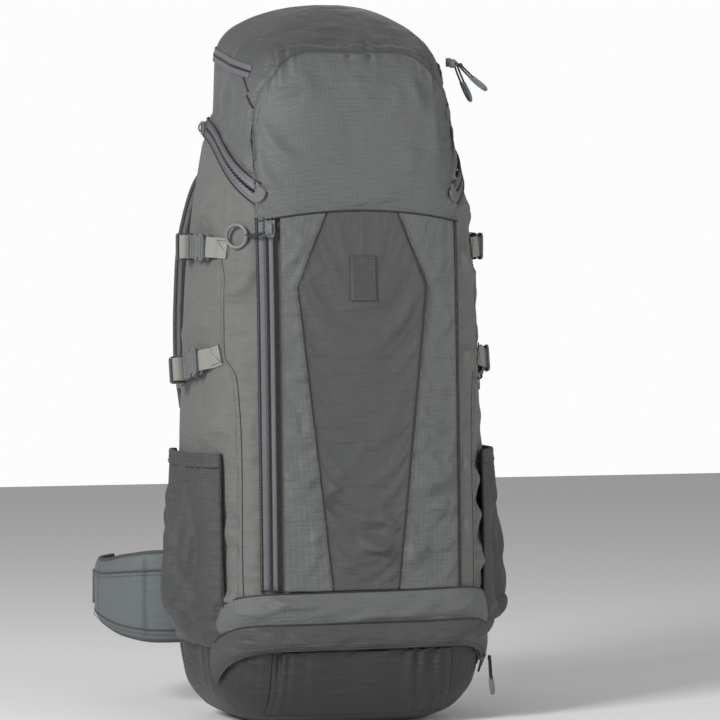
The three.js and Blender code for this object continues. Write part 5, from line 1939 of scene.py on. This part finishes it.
def inner_cloth(name, points, body, slot, look, node, thickness=1.2):
    obj = grid_object(name, points)
    add_wall(obj, thickness)
    return finish_piece(obj, body, slot, look, *([node] if node else []))


def insides():
    """The lid pocket's floor, the divider above the bottom compartment and the hydration sleeve."""
    turns = even_turns(121)[None, :-1]
    shares = np.array([1.0, 0.93, 0.8, 0.6, 0.4, 0.2, 0.06])[:, None]
    for name, z, body, node, sag in (("lid_floor_cloth", 667, "lid", "lid_pocket_floor", 3.0),
                                     ("divider_cloth", 150, "bag", None, 5.0)):
        rim = shell_point(np.full_like(turns, z), turns, -7.0)[0]
        hub = rim.mean(0)
        points = hub + (rim - hub) * shares[..., None]
        ripple = np.sin(np.radians(turns) * 5 + 1) * 1.2
        points[..., 2] = z - sag * (1 - shares ** 2) + ripple * shares * (1 - shares) * 3
        obj = grid_object(name, points, closed=True)
        close_top(obj, turns.size)
        add_wall(obj, 1.2)
        finish_piece(obj, body, "ripstop", ripstop_look, *([node] if node else []))
    x = np.linspace(-77, 77, 45)[None, :]
    v = np.linspace(0, 1, 61)[:, None]
    z = 301 + 298 * v + 0 * x
    bulge = 7 * np.sqrt(np.clip(1 - (x / 78) ** 2, 0, 1)) * np.clip(6 * v, 0, 1)
    droop = 3.0 * np.cos(x / 78 * math.pi / 2) * np.clip((v - 0.8) / 0.2, 0, 1)
    sleeve = inner_cloth("hydration_sleeve_cloth", np.stack([x + 0 * z, 71 - bulge, z - droop], -1),
                         "bag", "ripstop", ripstop_look, "hydration_sleeve")
    hem = np.stack([x[0], 71 - bulge[-1], z[-1] - droop[-1]], 1)
    finish_piece(ribbon_on("hydration_sleeve_binding", hem, np.array([[0, -1.0, 0]] * 45), 12, 1.6),
                 "bag", "dark_fabric", flap_look)
    return sleeve


def patch():
    """A plain stitched patch on the centre panel, with nothing on it."""
    x = np.linspace(-14, 14, 15)[None, :]
    z = np.linspace(452, 500, 25)[:, None]
    base, normals = front_frame(x + 0 * z, z + 0 * x)
    laid = front_surface_cloth.lay(base, normals, 0.9)
    obj = grid_object("centre_patch", laid)
    add_wall(obj, 1.3)
    finish_piece(obj, "bag", "dark_fabric", flap_look)
    ring = [(-11.5, 454.5), (11.5, 454.5), (11.5, 497.5), (-11.5, 497.5), (-11.5, 454.5)]
    line = even_line(np.array([(x, 0, z) for x, z in ring], float), 90)
    base, normals = front_frame(line[:, 0], line[:, 2])
    laid = front_surface_cloth.lay(base, normals, 1.6)
    stitches("patch_stitching", laid, normals, "bag", "ripstop", thread_look, out=0.3)


def sewn_tab(name, side, y, z, along, width, thick, out, look, slot, surface=None):
    """A small rounded tab lying on the side of the bag."""
    point, normal = side_frame(side, y, z, out)
    if surface is not None:
        point = surface.lay(point[None], normal[None], out)[0]
    lean_axis = unit(np.array([0, math.cos(along[1]), math.sin(along[1])]))
    x_axis = unit(lean_axis - normal * np.dot(lean_axis, normal))
    y_axis = np.cross(normal, x_axis)
    half, reach = width / 2, along[0] / 2
    tab = plate(name, rectangle(-reach, -half, reach, half, 2.0), [], thick,
                axes_matrix(point, x_axis, y_axis, normal), thick * 0.3)
    return finish_piece(tab, "bag", slot, look)


def small_parts():
    for side, name in SIDES:
        base, normals = side_zip_line(side, 0)
        end, normal = base[0], normals[0]
        tangent = unit(base[0] - base[3])
        across = np.cross(normal, tangent)
        outline = round_corners([(-5, -8.5), (6, -7.5), (8, 0), (6, 7.5), (-5, 8.5)], 3)
        garage = plate(f"zip_garage_{name}", outline, [], 2.4,
                       axes_matrix(end + normal * 1.8, tangent, across, normal), 0.9)
        finish_piece(garage, "bag", "bag_fabric", gusset_look)
    sewn_tab("reflective_tab", 1, -62, 362, (14, math.pi / 2), 7, 1.2, 1.4, LOOKS["zip_tape"], "zip_tape",
             bag_cloth)


insides()
patch()
small_parts()
# ---- Stage -----------------------------------------------------------------------------------

def area_light(name, location, aim, size, power, colour=(1, 1, 1)):
    data = bpy.data.lights.new(name, "AREA")
    data.shape = "RECTANGLE"
    data.size, data.size_y = size
    data.energy = power
    data.color = colour
    light = bpy.data.objects.new(name, data)
    bpy.context.collection.objects.link(light)
    light.location = location
    light.rotation_euler = (Vector(location) - Vector(aim)).to_track_quat("Z", "Y").to_euler()


def studio():
    world = bpy.data.worlds.new("studio")
    bpy.context.scene.world = world
    world.use_nodes = True
    tree = world.node_tree
    tree.nodes["Background"].inputs[1].default_value = 0.30
    backdrop = tree.nodes.new("ShaderNodeBackground")
    backdrop.inputs[1].default_value = 0.98
    for node in (tree.nodes["Background"], backdrop):
        node.inputs[0].default_value = (1, 1, 1, 1)
    path = tree.nodes.new("ShaderNodeLightPath")
    choice = tree.nodes.new("ShaderNodeMixShader")
    tree.links.new(path.outputs["Is Camera Ray"], choice.inputs[0])
    tree.links.new(tree.nodes["Background"].outputs[0], choice.inputs[1])
    tree.links.new(backdrop.outputs[0], choice.inputs[2])
    tree.links.new(choice.outputs[0], tree.nodes["World Output"].inputs[0])
    aim = (0, 0, 0.4)
    area_light("key_light", (-2.2, -1.5, 1.5), aim, (0.7, 1.0), 80)
    area_light("fill_light", (1.9, -1.7, 0.9), aim, (1.2, 1.2), 22)
    area_light("top_light", (-0.4, 0.8, 2.4), aim, (2.0, 1.6), 4)
    floor = new_object("floor", [(-4000, -4000, -0.5), (4000, -4000, -0.5), (4000, 4000, -0.5),
                                 (-4000, 4000, -0.5)], [(0, 1, 2, 3)])
    n = Nodes("floor_paint")
    n.shader.inputs["Base Color"].default_value = (0.9, 0.9, 0.9, 1)
    n.shader.inputs["Roughness"].default_value = 0.7
    floor.data.materials.append(n.material)
    bpy.context.scene.view_settings.view_transform = "Standard"


studio()
